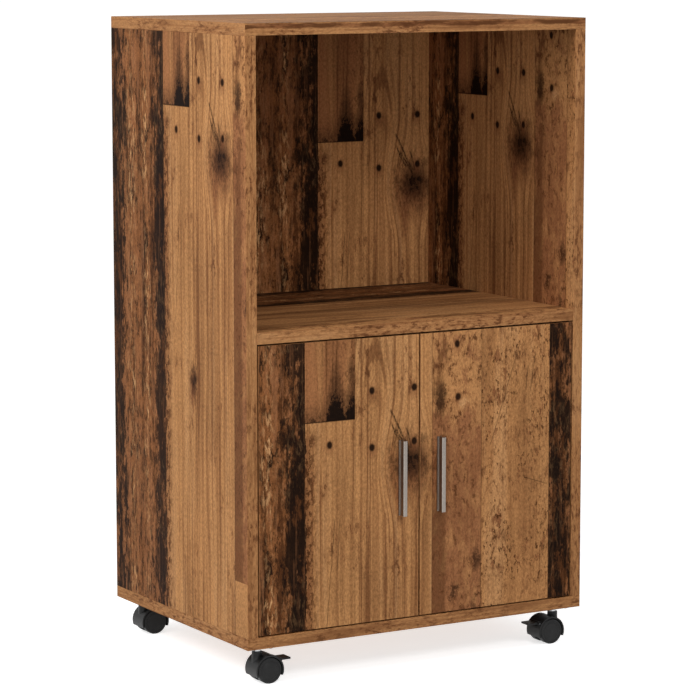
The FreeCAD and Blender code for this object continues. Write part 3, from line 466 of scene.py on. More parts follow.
def print_group():
    """The print as a node group: U and V in, colour, roughness and height out."""
    tree = bpy.data.node_groups.new("OldPlankPrint", "ShaderNodeTree")
    sockets = (("U", "INPUT", "Float"), ("V", "INPUT", "Float"), ("Color", "OUTPUT", "Color"),
               ("Roughness", "OUTPUT", "Float"), ("Height", "OUTPUT", "Float"))
    for name, direction, kind in sockets:
        tree.interface.new_socket(name, in_out=direction, socket_type="NodeSocket" + kind)
    graph = Graph(tree)
    source = tree.nodes.new("NodeGroupInput")
    across, v = [Field(graph, socket) for socket in list(source.outputs)[:2]]
    looks = bpy.context.scene.stand_print
    masks = plank_masks(graph, across, v)
    u = masks["cell"]
    bent = warp_round_knots(graph, u, v)
    streak = graph.noise(bent, v, 150.0, 1.7, 4.0, 2.0, 0.6)
    grain = {"bent": bent, "broad": graph.noise(bent, v, 24.0, 1.6, 3.0, 1.0),
             "lines": streak.ramp(0.47, 0.64)}
    speck = graph.noise(u, v, 340.0, 190.0, 3.0, 27.0, 0.7)
    pores = graph.noise(bent, v, 800.0, 50.0, 2.0, 6.0).ramp(0.58, 0.72)

    color = pale_planks(graph, looks, masks, u, v, grain)
    color = graph.mix(color, brown_plank(graph, looks, u, v, grain), masks["brown"])
    color = graph.mix(color, dark_plank(graph, looks, u, v, grain), masks["dark"])
    color = graph.mix(color, short_plank(graph, looks, u, v, grain), masks["stub"])
    color, depth = old_marks(graph, looks, color, masks, u, v, speck)

    # Grime in broad patches, grit everywhere, and dark pores.
    grime = graph.noise(u, v, 6.0, 3.4, 5.0, 47.0, 0.62)
    color = graph.mix(color, looks.dark, grime.ramp(0.52, 0.78) * 0.30)
    tone = 0.60 + grime.ramp(0.30, 0.70) * 0.26 + speck.ramp(0.30, 0.70) * 0.46
    color = graph.toned(color, tone)
    color = graph.mix(color, looks.dark, pores * 0.22)

    height = 0.5 + streak * 0.25 - pores * 0.35 - depth + masks["dark"] * (speck - 0.5) * 0.5
    sink = tree.nodes.new("NodeGroupOutput")
    graph.wire(sink.inputs["Color"], color)
    graph.wire(sink.inputs["Roughness"], looks.roughness + (grime - 0.5) * 0.16 + depth * 0.2)
    graph.wire(sink.inputs["Height"], height)
    return tree


def print_material(name):
    """The print laid on one face, as its placement says."""
    across, along, start = PLACEMENTS[name]
    material, graph, shader = new_material(name)
    axes = object_axes(graph)
    group = graph.tree.nodes.new("ShaderNodeGroup")
    group.node_tree = bpy.data.node_groups["OldPlankPrint"]
    for socket, (axis, sign), offset in zip(group.inputs, (across, along), start):
        graph.wire(socket, axes["XYZ".index(axis)] * sign + offset)
    graph.tree.links.new(group.outputs["Color"], shader.inputs["Base Color"])
    graph.tree.links.new(group.outputs["Roughness"], shader.inputs["Roughness"])
    bump(graph, shader, Field(graph, group.outputs["Height"]), 0.35, 0.0004)
    shader.inputs["Specular IOR Level"].default_value = 0.03
    return material


def band_material(name, dark_stripe=False):
    """Edge band: pale wood print running along one axis, with scattered dark marks."""
    along, seed = BANDS[name]
    material, graph, shader = new_material(name)
    looks = bpy.context.scene.stand_print
    lengthwise, crosswise = grain_axes(graph, along)
    streak = graph.noise(crosswise, lengthwise, 210.0, 3.4, 4.0, seed, 0.62)
    speck = graph.noise(crosswise, lengthwise, 420.0, 150.0, 3.0, seed + 2.0, 0.7)
    marks = graph.noise(crosswise, lengthwise, 190.0, 60.0, 5.0, seed + 3.0, 0.72)
    crowd = graph.noise(crosswise, lengthwise, 14.0, 7.0, 2.0, seed + 5.0).ramp(0.38, 0.60)
    tone = 0.56 + streak.ramp(0.32, 0.66) * 0.30 + speck.ramp(0.30, 0.70) * 0.42
    color = graph.toned(looks.band, tone)
    color = graph.mix(color, looks.streak, streak.ramp(0.46, 0.60) * 0.60)
    color = graph.mix(color, looks.rust, crowd * marks.ramp(0.42, 0.60) * 0.70)
    long = graph.noise(crosswise, lengthwise, 46.0, 4.2, 4.0, seed + 7.0, 0.66)
    color = graph.mix(color, looks.streak, long.ramp(0.53, 0.64) * 0.60)
    color = graph.mix(color, looks.wear, long.ramp(0.46, 0.36) * 0.26)
    color = graph.mix(color, looks.dark, marks.ramp(0.53, 0.58) * (0.12 + crowd * 0.54))
    if dark_stripe:
        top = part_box("top_panel")[1].z
        wave = (graph.noise(lengthwise, lengthwise, 5.0, 17.0, 5.0, seed + 6.0, 0.62) - 0.5) * 0.010
        height = object_axes(graph)[2]
        level = height + wave
        stripe = level.ramp(top - 0.0095, top - 0.0070) * level.ramp(top - 0.0002, top - 0.0030)
        broken = graph.noise(lengthwise, height, 14.0, 60.0, 4.0, seed + 8.0, 0.66).ramp(0.40, 0.54)
        color = graph.mix(color, looks.rust, stripe * 0.60)
        color = graph.mix(color, looks.dark, stripe * broken * 0.80)
    graph.wire(shader.inputs["Base Color"], color)
    graph.wire(shader.inputs["Roughness"], looks.roughness + (streak - 0.5) * 0.12)
    bump(graph, shader, streak - marks.ramp(0.56, 0.66) * 0.5, 0.2, 0.0003)
    shader.inputs["Specular IOR Level"].default_value = 0.03
    return material


# Hardware finishes --------------------------------------------------------------------------


def metal_material(name, color, roughness, along, brushing=0.5):
    """Bare or plated metal with fine lines along one axis and faint blotches."""
    material, graph, shader = new_material(name)
    lengthwise, crosswise = grain_axes(graph, along)
    lines = graph.noise(crosswise, lengthwise, 3800.0, 30.0, 3.0, 1.0, 0.7)
    blotch = graph.noise(crosswise, lengthwise, 90.0, 60.0, 4.0, 5.0)
    dull = lines.ramp(0.35, 0.7) * brushing + blotch * 0.25
    graph.wire(shader.inputs["Base Color"], graph.mix(color, shaded(color, 0.72), dull))
    graph.wire(shader.inputs["Roughness"], roughness + (lines - 0.5) * 0.16 + (blotch - 0.5) * 0.10)
    bump(graph, shader, lines, 0.10, 0.0001)
    shader.inputs["Metallic"].default_value = 1.0
    return material


def moulded_material(name, color, roughness, scale=900.0):
    """Black moulded nylon: fine spark texture, dusty high spots and soft scuffs."""
    material, graph, shader = new_material(name)
    x, y, z = object_axes(graph)
    place = graph.node("ShaderNodeCombineXYZ", None, [x, y, z])
    spark = graph.node("ShaderNodeTexNoise", None,
                       {"Vector": place, "Scale": scale, "Detail": 2.0, "Roughness": 0.6})
    scuff = graph.node("ShaderNodeTexNoise", None,
                       {"Vector": place, "Scale": 60.0, "Detail": 5.0, "Roughness": 0.65})
    dusty = [channel * 1.9 + 0.012 for channel in color]
    graph.wire(shader.inputs["Base Color"], graph.mix(color, dusty, scuff.ramp(0.45, 0.78) * 0.6))
    graph.wire(shader.inputs["Roughness"], roughness + (scuff - 0.5) * 0.22)
    shader.inputs["Specular IOR Level"].default_value = 0.2
    bump(graph, shader, spark, 0.22, 0.00012)
    return material


def plain_wood_material(name, color, along):
    """Plain turned beech: short flecks and faint growth lines."""
    material, graph, shader = new_material(name)
    lengthwise, crosswise = grain_axes(graph, along)
    lines = graph.noise(crosswise, lengthwise, 700.0, 20.0, 4.0, 2.0)
    flecks = graph.noise(crosswise, lengthwise, 900.0, 160.0, 2.0, 6.0).ramp(0.60, 0.70)
    dark = shaded(color, 0.66)
    tint = graph.mix(color, dark, lines.ramp(0.35, 0.75) * 0.6)
    graph.wire(shader.inputs["Base Color"], graph.mix(tint, dark, flecks * 0.7))
    graph.wire(shader.inputs["Roughness"], 0.55 + (lines - 0.5) * 0.2)
    bump(graph, shader, lines - flecks, 0.2, 0.0002)
    return material


def hardboard_material():
    """Bare face of the back board: pressed brown fibre with a woven screen mark."""
    material, graph, shader = new_material("BareHardboard")
    x, _, z = object_axes(graph)
    fibre = graph.noise(x, z, 700.0, 460.0, 4.0, 3.0, 0.7)
    cloud = graph.noise(x, z, 14.0, 11.0, 4.0, 8.0)
    mesh = ((x * 5200.0).math("SINE") * (z * 5200.0).math("SINE")) * 0.5 + 0.5
    looks = bpy.context.scene.stand_print
    color = graph.mix(looks.hardboard, shaded(looks.hardboard, 0.62), fibre.ramp(0.36, 0.68))
    color = graph.mix(color, shaded(looks.hardboard, 1.25), cloud.ramp(0.45, 0.7) * 0.4)
    graph.wire(shader.inputs["Base Color"], color)
    graph.wire(shader.inputs["Roughness"], 0.72 + (fibre - 0.5) * 0.2)
    bump(graph, shader, fibre + mesh * 0.4, 0.3, 0.0003)
    return material


# Mesh helpers -------------------------------------------------------------------------------


def piece_from(name, mesh, body, replaced):
    """Put a finished mesh in the scene as a piece on a body."""
    piece = bpy.data.objects.new(name, mesh)
    bpy.context.scene.collection.objects.link(piece)
    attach(piece, body)
    for node in replaced:
        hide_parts(node)
    return piece


def body_of_node(node):
    """The moving body that a CAD node belongs to."""
    return frame["nodes"][node]["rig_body"]


def merged_copy(node):
    """A clean bmesh of a CAD node: doubles merged and flat faces joined."""
    mesh = bmesh.new()
    mesh.from_mesh(frame["nodes"][node].data)
    bmesh.ops.remove_doubles(mesh, verts=mesh.verts, dist=TOUCHING)
    bmesh.ops.dissolve_limit(mesh, angle_limit=math.radians(0.5), verts=mesh.verts, edges=mesh.edges)
    return mesh


def round_edges(mesh, edges, width, segments):
    """Round the given edges by a width."""
    bmesh.ops.bevel(mesh, geom=edges, offset=width, segments=segments, profile=0.5,
                    affect="EDGES", clamp_overlap=True)


def sharp_edges(mesh, angle=30.0):
    """Edges whose faces meet at more than an angle in degrees."""
    return [edge for edge in mesh.edges
            if len(edge.link_faces) == 2 and edge.calc_face_angle() > math.radians(angle)]


def evaluated_copy(data, name, set_up):
    """Mesh data as a modifier leaves it; set_up adds the modifier to a passing object."""
    carrier = bpy.data.objects.new(name + "_carrier", data)
    bpy.context.scene.collection.objects.link(carrier)
    set_up(carrier)
    bpy.context.view_layer.update()
    evaluated = carrier.evaluated_get(bpy.context.evaluated_depsgraph_get())
    result = bpy.data.meshes.new_from_object(evaluated)
    bpy.data.objects.remove(carrier)
    result.name = name
    return result


def finish_mesh(mesh, name, smooth_angle=40.0):
    """Turn a bmesh into mesh data, smooth apart from its sharp edges, with flat faces kept flat."""
    for face in mesh.faces:
        face.smooth = True
    data = bpy.data.meshes.new(name)
    mesh.to_mesh(data)
    mesh.free()
    data.set_sharp_from_angle(angle=math.radians(smooth_angle))

    def weigh(carrier):
        modifier = carrier.modifiers.new("Normals", "WEIGHTED_NORMAL")
        modifier.keep_sharp = True

    return evaluated_copy(data, name, weigh)


def finished_node(node, material, width=0.4 * MM):
    """Stand a rounded copy of a CAD node in for it."""
    mesh = merged_copy(node)
    round_edges(mesh, sharp_edges(mesh), width, 2)
    data = finish_mesh(mesh, node + "_finish")
    data.materials.append(material)
    return piece_from(node + "_finish", data, body_of_node(node), [node])


FACINGS = {"-X": Vector((-1, 0, 0)), "+X": Vector((1, 0, 0)), "-Y": Vector((0, -1, 0)),
           "+Y": Vector((0, 1, 0)), "-Z": Vector((0, 0, -1)), "+Z": Vector((0, 0, 1))}


def box_edges(mesh):
    """Edges that lie on an edge of the mesh's bounding box."""
    low = [min(vert.co[i] for vert in mesh.verts) for i in range(3)]
    high = [max(vert.co[i] for vert in mesh.verts) for i in range(3)]

    def planes(vert):
        return {(i, end[i]) for i in range(3) for end in (low, high)
                if abs(vert.co[i] - end[i]) < TOUCHING}

    return [edge for edge in mesh.edges if len(planes(edge.verts[0]) & planes(edge.verts[1])) >= 2]


def finished_board(node, faces, width=0.5 * MM):
    """Stand a board with softened edges in for a CAD board; faces maps a facing to its material."""
    mesh = merged_copy(node)
    if width:
        round_edges(mesh, box_edges(mesh), width, 2)
    names = list(faces)
    for face in mesh.faces:
        face.material_index = max(range(len(names)), key=lambda i: FACINGS[names[i]].dot(face.normal))
    data = finish_mesh(mesh, node + "_board")
    for facing in names:
        data.materials.append(faces[facing])
    return piece_from(node + "_board", data, body_of_node(node), [node])


def lathe(profile, centre, steps):
    """Turn an outline of (radius, distance along Y) about an axis along Y."""
    mesh = bmesh.new()
    rings = []
    for radius, along in profile:
        if radius < 1e-9:
            rings.append([mesh.verts.new(centre + Vector((0, along, 0)))])
            continue
        ring = [mesh.verts.new(centre + Vector((radius * math.cos(2 * math.pi * i / steps), along,
                                                radius * math.sin(2 * math.pi * i / steps))))
                for i in range(steps)]
        rings.append(ring)
    for first, second in zip(rings, rings[1:]):
        for i in range(steps):
            j = (i + 1) % steps
            corners = [first[i % len(first)], first[j % len(first)],
                       second[j % len(second)], second[i % len(second)]]
            mesh.faces.new(list(dict.fromkeys(corners)))
    bmesh.ops.recalc_face_normals(mesh, faces=mesh.faces)
    return mesh


# Settings -----------------------------------------------------------------------------------


def color_property(name, description, default):
    return bpy.props.FloatVectorProperty(name=name, description=description, default=default,
                                         subtype="COLOR", size=3, min=0.0, max=1.0)


class StandPrint(bpy.types.PropertyGroup):
    """Tones of the plank print and its bands."""

    pale: color_property("Pale", "First pale plank", (0.5, 0.24, 0.09))
    warm: color_property("Warm", "Wide pale plank", (0.51, 0.244, 0.092))
    grey: color_property("Grey brown", "Speckled plank", (0.49, 0.23, 0.086))
    brown: color_property("Brown", "Brown plank", (0.31, 0.128, 0.053))
    stub: color_property("Stub", "Short plank above its sawn end", (0.34, 0.14, 0.055))
    dark: color_property("Dark", "Weathered plank", (0.085, 0.03, 0.010))
    ember: color_property("Ember", "Reddish parts of the weathered plank", (0.28, 0.106, 0.036))
    soot: color_property("Soot", "Burnt ends, pits, cracks and nail holes", (0.01, 0.0045, 0.0025))
    streak: color_property("Streak", "Dark lines of the grain", (0.19, 0.074, 0.027))
    rust: color_property("Rust", "Stains round knots and nails", (0.2, 0.07, 0.028))
    wear: color_property("Wear", "Pale chips and rubbed spots", (0.6, 0.32, 0.14))
    band: color_property("Edge band", "Bands on the boards' edges", (0.47, 0.222, 0.086))
    hardboard: color_property("Hardboard", "Bare rear of the back board", (0.20, 0.115, 0.060))
    roughness: bpy.props.FloatProperty(name="Roughness", description="Roughness of the print",
                                       default=0.58, min=0.0, max=1.0, subtype="FACTOR")


class StandHardware(bpy.types.PropertyGroup):
    """Finishes and details of the metal and plastic pieces."""

    pull: color_property("Pulls", "Satin metal of the door pulls", (0.29, 0.255, 0.225))
    nickel: color_property("Hinges", "Nickel of the hinges", (0.66, 0.64, 0.60))
    zinc: color_property("Zinc", "Plated plates and screws", (0.56, 0.57, 0.58))
    nylon: color_property("Castors", "Black nylon of the castors", (0.011, 0.011, 0.011))
    beech: color_property("Dowels", "Plain beech of the dowels", (0.50, 0.30, 0.15))
    recess: bpy.props.FloatProperty(name="Screw recess", description="Depth of a screw's cross recess",
                                    default=1.2 * MM, min=0.0, unit="LENGTH")
    dish: bpy.props.FloatProperty(name="Wheel dish", description="Depth of the ring round a hub cap",
                                  default=0.5 * MM, min=0.0, unit="LENGTH")


class StandStage(bpy.types.PropertyGroup):
    """Camera, lights and floor."""

    camera_place: bpy.props.FloatVectorProperty(name="Camera place", description="Where the camera stands",
                                                default=(-2.4076, -4.0883, 1.1193), unit="LENGTH")
    yaw: bpy.props.FloatProperty(name="Yaw", description="Camera turn towards the stand",
                                 default=math.radians(30.51), unit="ROTATION")
    pitch: bpy.props.FloatProperty(name="Pitch", description="How far the camera looks down",
                                   default=math.radians(7.855), unit="ROTATION")
    lens: bpy.props.FloatProperty(name="Lens", description="Focal length in millimetres", default=155.9)
    key_power: bpy.props.FloatProperty(name="Side light", description="Power of the light on the left",
                                       default=92.0, unit="POWER")
    front_power: bpy.props.FloatProperty(name="Front light", description="Power of the light in front",
                                         default=62.0, unit="POWER")
    fill_power: bpy.props.FloatProperty(name="Fill light", description="Power of the light by the camera",
                                        default=32.0, unit="POWER")
    sky: bpy.props.FloatProperty(name="Sky", description="Strength of the even light", default=0.40)
    floor_glow: bpy.props.FloatProperty(name="Floor glow", description="Strength of the floor's own light",
                                        default=0.66)


# Operators ----------------------------------------------------------------------------------


class STAND_OT_boards(bpy.types.Operator):
    """Finish the carcass boards with the plank print and edge bands"""

    bl_idname = "stand.boards"
    bl_label = "Boards"

    def execute(self, context):
        print_group()
        upright, level, deep = [band_material(name) for name in ("BandUpright", "BandLevel", "BandDeep")]
        top_front = band_material("BandTopFront", dark_stripe=True)
        outer, inner, lying, under, shelf, back = [print_material(name) for name in (
            "PrintSideOuter", "PrintSideInner", "PrintTop", "PrintUnder", "PrintShelf", "PrintBack")]
        edges = {"-Y": upright, "+Y": upright, "+Z": deep, "-Z": deep}
        finished_board("left_side_panel", {"-X": outer, "+X": inner, **edges})
        finished_board("right_side_panel", {"+X": outer, "-X": inner, **edges})
        sides = {"-X": deep, "+X": deep, "+Y": level}
        finished_board("top_panel", {"+Z": lying, "-Z": under, "-Y": top_front, **sides})
        for board in ("bottom_panel", "middle_shelf"):
            finished_board(board, {"+Z": shelf, "-Z": under, "-Y": level, **sides})
        finished_board("back_panel", {"-Y": back, "+Y": hardboard_material()}, width=0)
        return {"FINISHED"}


class STAND_OT_doors(bpy.types.Operator):
    """Finish both doors as one run of the print"""

    bl_idname = "stand.doors"
    bl_label = "Doors"

    def execute(self, context):
        face = print_material("PrintDoors")
        inside = print_material("PrintDoorInside")
        upright = bpy.data.materials["BandUpright"]
        level = bpy.data.materials["BandLevel"]
        for side in SIDES:
            finished_board(side + "_door", {"-Y": face, "+Y": inside, "-X": upright, "+X": upright,
                                            "-Z": level, "+Z": level}, width=0.6 * MM)
        return {"FINISHED"}


class STAND_OT_pulls(bpy.types.Operator):
    """Round and brush the door pulls"""

    bl_idname = "stand.pulls"
    bl_label = "Pulls"

    def execute(self, context):
        satin = metal_material("SatinMetal", context.scene.stand_hardware.pull, 0.34, "Z", 0.4)
        for side in SIDES:
            finished_node(side + "_handle", satin, 0.5 * MM)
        return {"FINISHED"}


class STAND_OT_hinges(bpy.types.Operator):
    """Finish the hinges' cups, arms, plates and pins"""

    bl_idname = "stand.hinges"
    bl_label = "Hinges"

    def execute(self, context):
        nickel = metal_material("Nickel", context.scene.stand_hardware.nickel, 0.26, "Y", 0.15)
        for side in SIDES:
            for part in ("hinge_cups", "hinge_arms", "hinge_plates", "hinge_pins"):
                finished_node("%s_%s" % (side, part), nickel, 0.25 * MM)
        return {"FINISHED"}


class STAND_OT_castors(bpy.types.Operator):
    """Build the castors' wheels, hoods, plates and levers"""

    bl_idname = "stand.castors"
    bl_label = "Castors"

    def execute(self, context):
        hardware = context.scene.stand_hardware
        tread = moulded_material("CastorWheel", hardware.nylon, 0.46)
        shell = moulded_material("CastorHood", hardware.nylon, 0.38, 1300.0)
        zinc = metal_material("CastorZinc", hardware.zinc, 0.38, "X", 0.2)
        for castor in CASTORS:
            name = castor + "_castor_"
            finished_node(name + "hood", shell, 0.5 * MM)
            finished_node(name + "plate", zinc, 0.3 * MM)
            finished_node(name + "stem", zinc, 0.3 * MM)
            finished_node(name + "axle", zinc, 0.2 * MM)
            for which in ("near", "far"):
                castor_wheel(name + which + "_wheel", which, hardware.dish, tread)
            if castor.startswith("front"):
                finished_node(name + "brake_lever", shell, 0.5 * MM)
                finished_node(name + "brake_pin", zinc, 0.2 * MM)
        return {"FINISHED"}


def castor_wheel(node, which, dish, material):
    """Wheel with a rounded tread, a ringed outer face and a hub cap."""
    low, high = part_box(node)
    centre = Vector(((low.x + high.x) / 2, 0.0, (low.z + high.z) / 2))
    radius = (high.z - low.z) / 2
    left_castor = "left" in node
    faces_front = (which == "near") == left_castor
    inner, outer = (high.y, low.y) if faces_front else (low.y, high.y)
    out = 1 if outer > inner else -1
    shoulder, bore, bore_depth = 1.5 * MM, 2.6 * MM, 9 * MM
    hollow, cap_sink, crown = 0.6 * MM, 0.1 * MM, 0.1 * MM
    turns = [math.pi / 2 * step / 5 for step in range(6)]
    profile = [(bore, inner + out * bore_depth), (bore, inner), (0.42 * radius, inner),
               (0.45 * radius, inner + out * hollow), (0.82 * radius, inner + out * hollow),
               (0.85 * radius, inner)]
    profile += [(radius - shoulder * (1 - math.sin(turn)), inner + out * shoulder * (1 - math.cos(turn)))
                for turn in turns]
    profile.append((radius - crown, (inner + outer) / 2))
    profile += [(radius - shoulder * (1 - math.cos(turn)), outer - out * shoulder * (1 - math.sin(turn)))
                for turn in turns]
    profile += [(0.84 * radius, outer), (0.82 * radius, outer - out * dish),
                (0.70 * radius, outer - out * dish), (0.68 * radius, outer - out * cap_sink),
                (0.2 * radius, outer - out * cap_sink), (0.0, outer - out * cap_sink)]
    data = finish_mesh(lathe(profile, centre, 72), node + "_turned", 28.0)
    data.materials.append(material)
    piece_from(node + "_turned", data, body_of_node(node), [node])


def screw_tree(material):
    """Geometry Nodes tree: a domed screw head with a cross recess at each point."""
    tree = bpy.data.node_groups.new("ScrewHeads", "GeometryNodeTree")
    interface = tree.interface
    interface.new_socket("Geometry", in_out="INPUT", socket_type="NodeSocketGeometry")
    for name, value in (("Head radius", 4 * MM), ("Head height", 2 * MM), ("Shank radius", 1.75 * MM),
                        ("Shank length", 12 * MM), ("Recess depth", 1.2 * MM)):
        socket = interface.new_socket(name, in_out="INPUT", socket_type="NodeSocketFloat")
        socket.default_value = value
    interface.new_socket("Axis", in_out="INPUT", socket_type="NodeSocketVector")
    interface.new_socket("Geometry", in_out="OUTPUT", socket_type="NodeSocketGeometry")
    graph = Graph(tree)
    source = tree.nodes.new("NodeGroupInput")
    points, head_radius, head_height, shank_radius, shank_length, recess, axis = [
        Field(graph, socket) for socket in list(source.outputs)[:7]]

    def cylinder(radius, depth, place_z, top_radius=None):
        settings = {"fill_type": "NGON"}
        inputs = {"Vertices": 24, "Side Segments": 1, "Radius Bottom": radius, "Depth": depth,
                  "Radius Top": radius if top_radius is None else top_radius}
        solid = graph.node("GeometryNodeMeshCone", settings, inputs)
        offset = graph.node("ShaderNodeCombineXYZ", None, [0.0, 0.0, place_z])
        return graph.node("GeometryNodeTransform", None, {"Geometry": solid, "Translation": offset})

    def slot_box(wide, long):
        size = graph.node("ShaderNodeCombineXYZ", None, [wide, long, recess * 2.0])
        box = graph.node("GeometryNodeMeshCube", None, {"Size": size})
        offset = graph.node("ShaderNodeCombineXYZ", None, [0.0, 0.0, head_height])
        return graph.node("GeometryNodeTransform", None, {"Geometry": box, "Translation": offset})

    head = cylinder(head_radius, head_height * 0.5, 0.0)
    crown = cylinder(head_radius, head_height * 0.5, head_height * 0.5, head_radius * 0.72)
    shank = cylinder(shank_radius, shank_length, shank_length * -1.0)
    cross = graph.node("GeometryNodeMeshBoolean", {"operation": "UNION"},
                       {"Mesh 2": slot_box(head_radius * 0.28, head_radius * 1.1)})
    tree.links.new(slot_box(head_radius * 1.1, head_radius * 0.28).socket,
                   cross.socket.node.inputs["Mesh 2"])
    cut = graph.node("GeometryNodeMeshBoolean", {"operation": "DIFFERENCE"},
                     {"Mesh 1": crown, "Mesh 2": cross})
    screw = graph.node("GeometryNodeJoinGeometry")
    for part in (shank, head, cut):
        tree.links.new(part.socket, screw.socket.node.inputs[0])
    turn = graph.node("FunctionNodeAlignRotationToVector", {"axis": "Z"}, {"Vector": axis})
    spread = graph.node("GeometryNodeInstanceOnPoints", None,
                        {"Points": points, "Instance": screw, "Rotation": turn})
    real = graph.node("GeometryNodeRealizeInstances", None, {"Geometry": spread})
    painted = graph.node("GeometryNodeSetMaterial", None, {"Geometry": real, "Material": material})
    sink = tree.nodes.new("NodeGroupOutput")
    tree.links.new(painted.socket, sink.inputs[0])
    return tree


def loose_solids(node):
    """Lowest and highest corner of each separate solid in a CAD node."""
    mesh = bmesh.new()
    mesh.from_mesh(frame["nodes"][node].data)
    bmesh.ops.remove_doubles(mesh, verts=mesh.verts, dist=TOUCHING)
    unseen = set(mesh.verts)
    boxes = []
    while unseen:
        stack = [unseen.pop()]
        found = list(stack)
        while stack:
            for edge in stack.pop().link_edges:
                for vert in edge.verts:
                    if vert in unseen:
                        unseen.remove(vert)
                        stack.append(vert)
                        found.append(vert)
        low = Vector([min(vert.co[i] for vert in found) for i in range(3)])
        high = Vector([max(vert.co[i] for vert in found) for i in range(3)])
        boxes.append((low, high))
    mesh.free()
    return sorted(boxes, key=lambda box: tuple(round(value, 5) for value in box[0]))


class STAND_OT_screws(bpy.types.Operator):
    """Set cross-recessed screws wherever the boards, doors and hinges are fastened"""

    bl_idname = "stand.screws"
    bl_label = "Screws"

    def execute(self, context):
        zinc = metal_material("ScrewZinc", context.scene.stand_hardware.zinc, 0.32, "Z", 0.15)
        tree = screw_tree(zinc)
        down, back = Vector((0, 0, -1)), Vector((0, 1, 0))
        inward = {"left": Vector((1, 0, 0)), "right": Vector((-1, 0, 0))}
        screw_set("castor_screws", tree, down, context)
        for side in SIDES:
            screw_set(side + "_cup_screws", tree, back, context)
            screw_set(side + "_handle_screws", tree, back, context)
            screw_set(side + "_hinge_plate_screws", tree, inward[side], context)
        color = context.scene.stand_hardware.zinc
        for node, along in (("carcass_screws", "Z"), ("cam_bolts", "X")):
            finished_node(node, metal_material(node + "_zinc", color, 0.35, along), 0.2 * MM)
        return {"FINISHED"}


def screw_set(node, tree, axis, context):
    """One node's screws: heads point along axis, and sizes come from the CAD solids."""
    solids = loose_solids(node)
    along = [i for i in range(3) if abs(axis[i]) > 0.5][0]
    across = (along + 1) % 3
    points = []
    for low, high in solids:
        place = (low + high) / 2
        place[along] = high[along] if axis[along] > 0 else low[along]
        points.append(place)
    low, high = solids[0]
    head_radius = (high[across] - low[across]) / 2
    length = high[along] - low[along]
    head_height = 2 * MM
    mesh = bpy.data.meshes.new(node + "_set")
    mesh.from_pydata([tuple(place - axis * head_height) for place in points], [], [])
    values = {"Head radius": head_radius, "Head height": head_height,
              "Shank radius": head_radius * 0.42, "Shank length": length - head_height,
              "Axis": tuple(axis), "Recess depth": context.scene.stand_hardware.recess}

    def grow(carrier):
        modifier = carrier.modifiers.new("Screws", "NODES")
        modifier.node_group = tree
        for item in tree.interface.items_tree:
            if item.in_out == "INPUT" and item.name in values:
                modifier[item.identifier] = values[item.name]

    data = evaluated_copy(mesh, node + "_heads", grow)
    if not data.polygons:
        raise RuntimeError("no screws were made for " + node)
    piece_from(node + "_heads", data, body_of_node(node), [node])


class STAND_OT_fittings(bpy.types.Operator):
    """Finish the cams and dowels inside the joints"""

    bl_idname = "stand.fittings"
    bl_label = "Fittings"

    def execute(self, context):
        hardware = context.scene.stand_hardware
        zinc = metal_material("CamZinc", hardware.zinc, 0.45, "Y")
        finished_node("cam_locks", zinc, 0.2 * MM)
        finished_node("wood_dowels", plain_wood_material("Beech", hardware.beech, "Z"), 0.3 * MM)
        return {"FINISHED"}


class STAND_OT_stage(bpy.types.Operator):
    """Add the pale floor, the soft lights and the camera"""

    bl_idname = "stand.stage"
    bl_label = "Stage"

    def execute(self, context):
        stage = context.scene.stand_stage
        make_floor(stage.floor_glow)
        make_world(stage.sky)
        low, high = CAD_BOX
        middle = (low + high) / 2
        for name, place, size, power in (("SideLight", (-3.23, -0.57, 2.29), 1.6, stage.key_power),
                                         ("FrontLight", (-0.31, -3.63, 2.64), 1.4, stage.front_power),
                                         ("FillLight", (-2.4, -3.4, 0.5), 1.6, stage.fill_power)):
            area_light(name, middle + Vector(place), middle, size, power)
        camera_data = bpy.data.cameras.new("StandCamera")
        camera_data.sensor_width = 36.0
        camera_data.lens = stage.lens
        camera_data.clip_end = 50.0
        camera = bpy.data.objects.new("StandCamera", camera_data)
        context.scene.collection.objects.link(camera)
        camera.location = stage.camera_place
        camera.rotation_euler = (math.pi / 2 - stage.pitch, 0.0, -stage.yaw)
        context.scene.camera = camera
        context.scene.view_settings.view_transform = "Standard"
        return {"FINISHED"}


def make_floor(glow):
    """A wide pale sheet with a faint tooth, curved up far behind the stand.

    Its glow keeps it white. Diffuse rays don't meet it, so it casts no light up on the stand, but it
    still shows in reflections.
    """
    mesh = bmesh.new()
    half, bend_radius, bend_steps, wall = 9.0, 3.0, 12, 6.0
    line = [(-half, 0.0)]
    for step in range(bend_steps + 1):
        turn = math.pi / 2 * step / bend_steps
        line.append((half - bend_radius * (1 - math.sin(turn)), bend_radius * (1 - math.cos(turn))))
    line.append((half, wall))
    rows = [[mesh.verts.new((x, y, z)) for y, z in line] for x in (-half, half)]
    for i in range(len(line) - 1):
        mesh.faces.new([rows[0][i], rows[1][i], rows[1][i + 1], rows[0][i + 1]])
    data = finish_mesh(mesh, "Floor", 60.0)
    floor = bpy.data.objects.new("Floor", data)
    bpy.context.scene.collection.objects.link(floor)
    material, graph, shader = new_material("PaleFloor")
    x, y, _ = object_axes(graph)
    tooth = graph.noise(x, y, 40.0, 40.0, 4.0, 1.0)
    graph.wire(shader.inputs["Base Color"], graph.mix((0.86, 0.86, 0.86), (0.83, 0.83, 0.83), tooth))
    shader.inputs["Roughness"].default_value = 0.9
    shader.inputs["Emission Color"].default_value = (1.0, 1.0, 1.0, 1.0)
    shader.inputs["Emission Strength"].default_value = glow
    floor.data.materials.append(material)
    floor.visible_diffuse = False


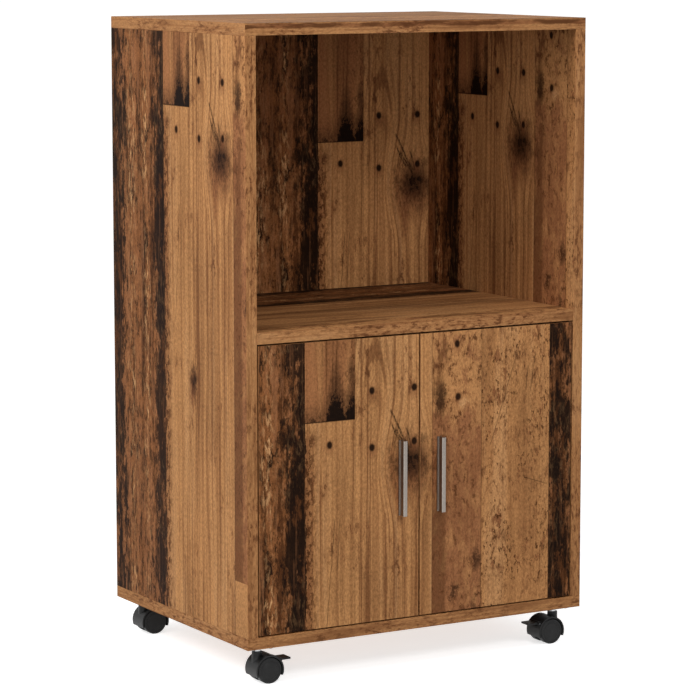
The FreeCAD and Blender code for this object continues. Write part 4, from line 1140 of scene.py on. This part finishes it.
def make_world(strength):
    """Even white light from all round."""
    world = bpy.data.worlds.new("StandWorld")
    world.use_nodes = True
    background = world.node_tree.nodes["Background"]
    background.inputs["Color"].default_value = (1.0, 1.0, 1.0, 1.0)
    background.inputs["Strength"].default_value = strength
    bpy.context.scene.world = world


def area_light(name, place, target, size, power):
    """A square light at a place, turned to a target."""
    data = bpy.data.lights.new(name, "AREA")
    data.size = size
    data.energy = power
    light = bpy.data.objects.new(name, data)
    bpy.context.scene.collection.objects.link(light)
    light.location = place
    light.rotation_euler = (target - place).to_track_quat("-Z", "Y").to_euler()


class STAND_PT_panel(bpy.types.Panel):
    """Lists the stand's operators and settings"""

    bl_idname = "STAND_PT_panel"
    bl_label = "Printer Stand"
    bl_space_type = "VIEW_3D"
    bl_region_type = "UI"
    bl_category = "Stand"

    def draw(self, context):
        for operator in OPERATORS:
            self.layout.operator(operator.bl_idname)
        for group_name, group in SETTINGS.items():
            box = self.layout.box()
            for name in group.__annotations__:
                box.prop(getattr(context.scene, group_name), name)


OPERATORS = (STAND_OT_boards, STAND_OT_doors, STAND_OT_pulls, STAND_OT_hinges, STAND_OT_castors,
             STAND_OT_screws, STAND_OT_fittings, STAND_OT_stage)
CLASSES = (StandPrint, StandHardware, StandStage, *OPERATORS, STAND_PT_panel)
SETTINGS = {"stand_print": StandPrint, "stand_hardware": StandHardware, "stand_stage": StandStage}


def register():
    for cls in CLASSES:
        bpy.utils.register_class(cls)
    for name, group in SETTINGS.items():
        setattr(bpy.types.Scene, name, bpy.props.PointerProperty(type=group))


def unregister():
    for name in SETTINGS:
        delattr(bpy.types.Scene, name)
    for cls in reversed(CLASSES):
        bpy.utils.unregister_class(cls)


def main():
    """Register the add-on and dress the stand."""
    register()
    bpy.ops.stand.boards()
    bpy.ops.stand.doors()
    bpy.ops.stand.pulls()
    bpy.ops.stand.hinges()
    bpy.ops.stand.castors()
    bpy.ops.stand.screws()
    bpy.ops.stand.fittings()
    bpy.ops.stand.stage()


if __name__ == "__main__":
    main()
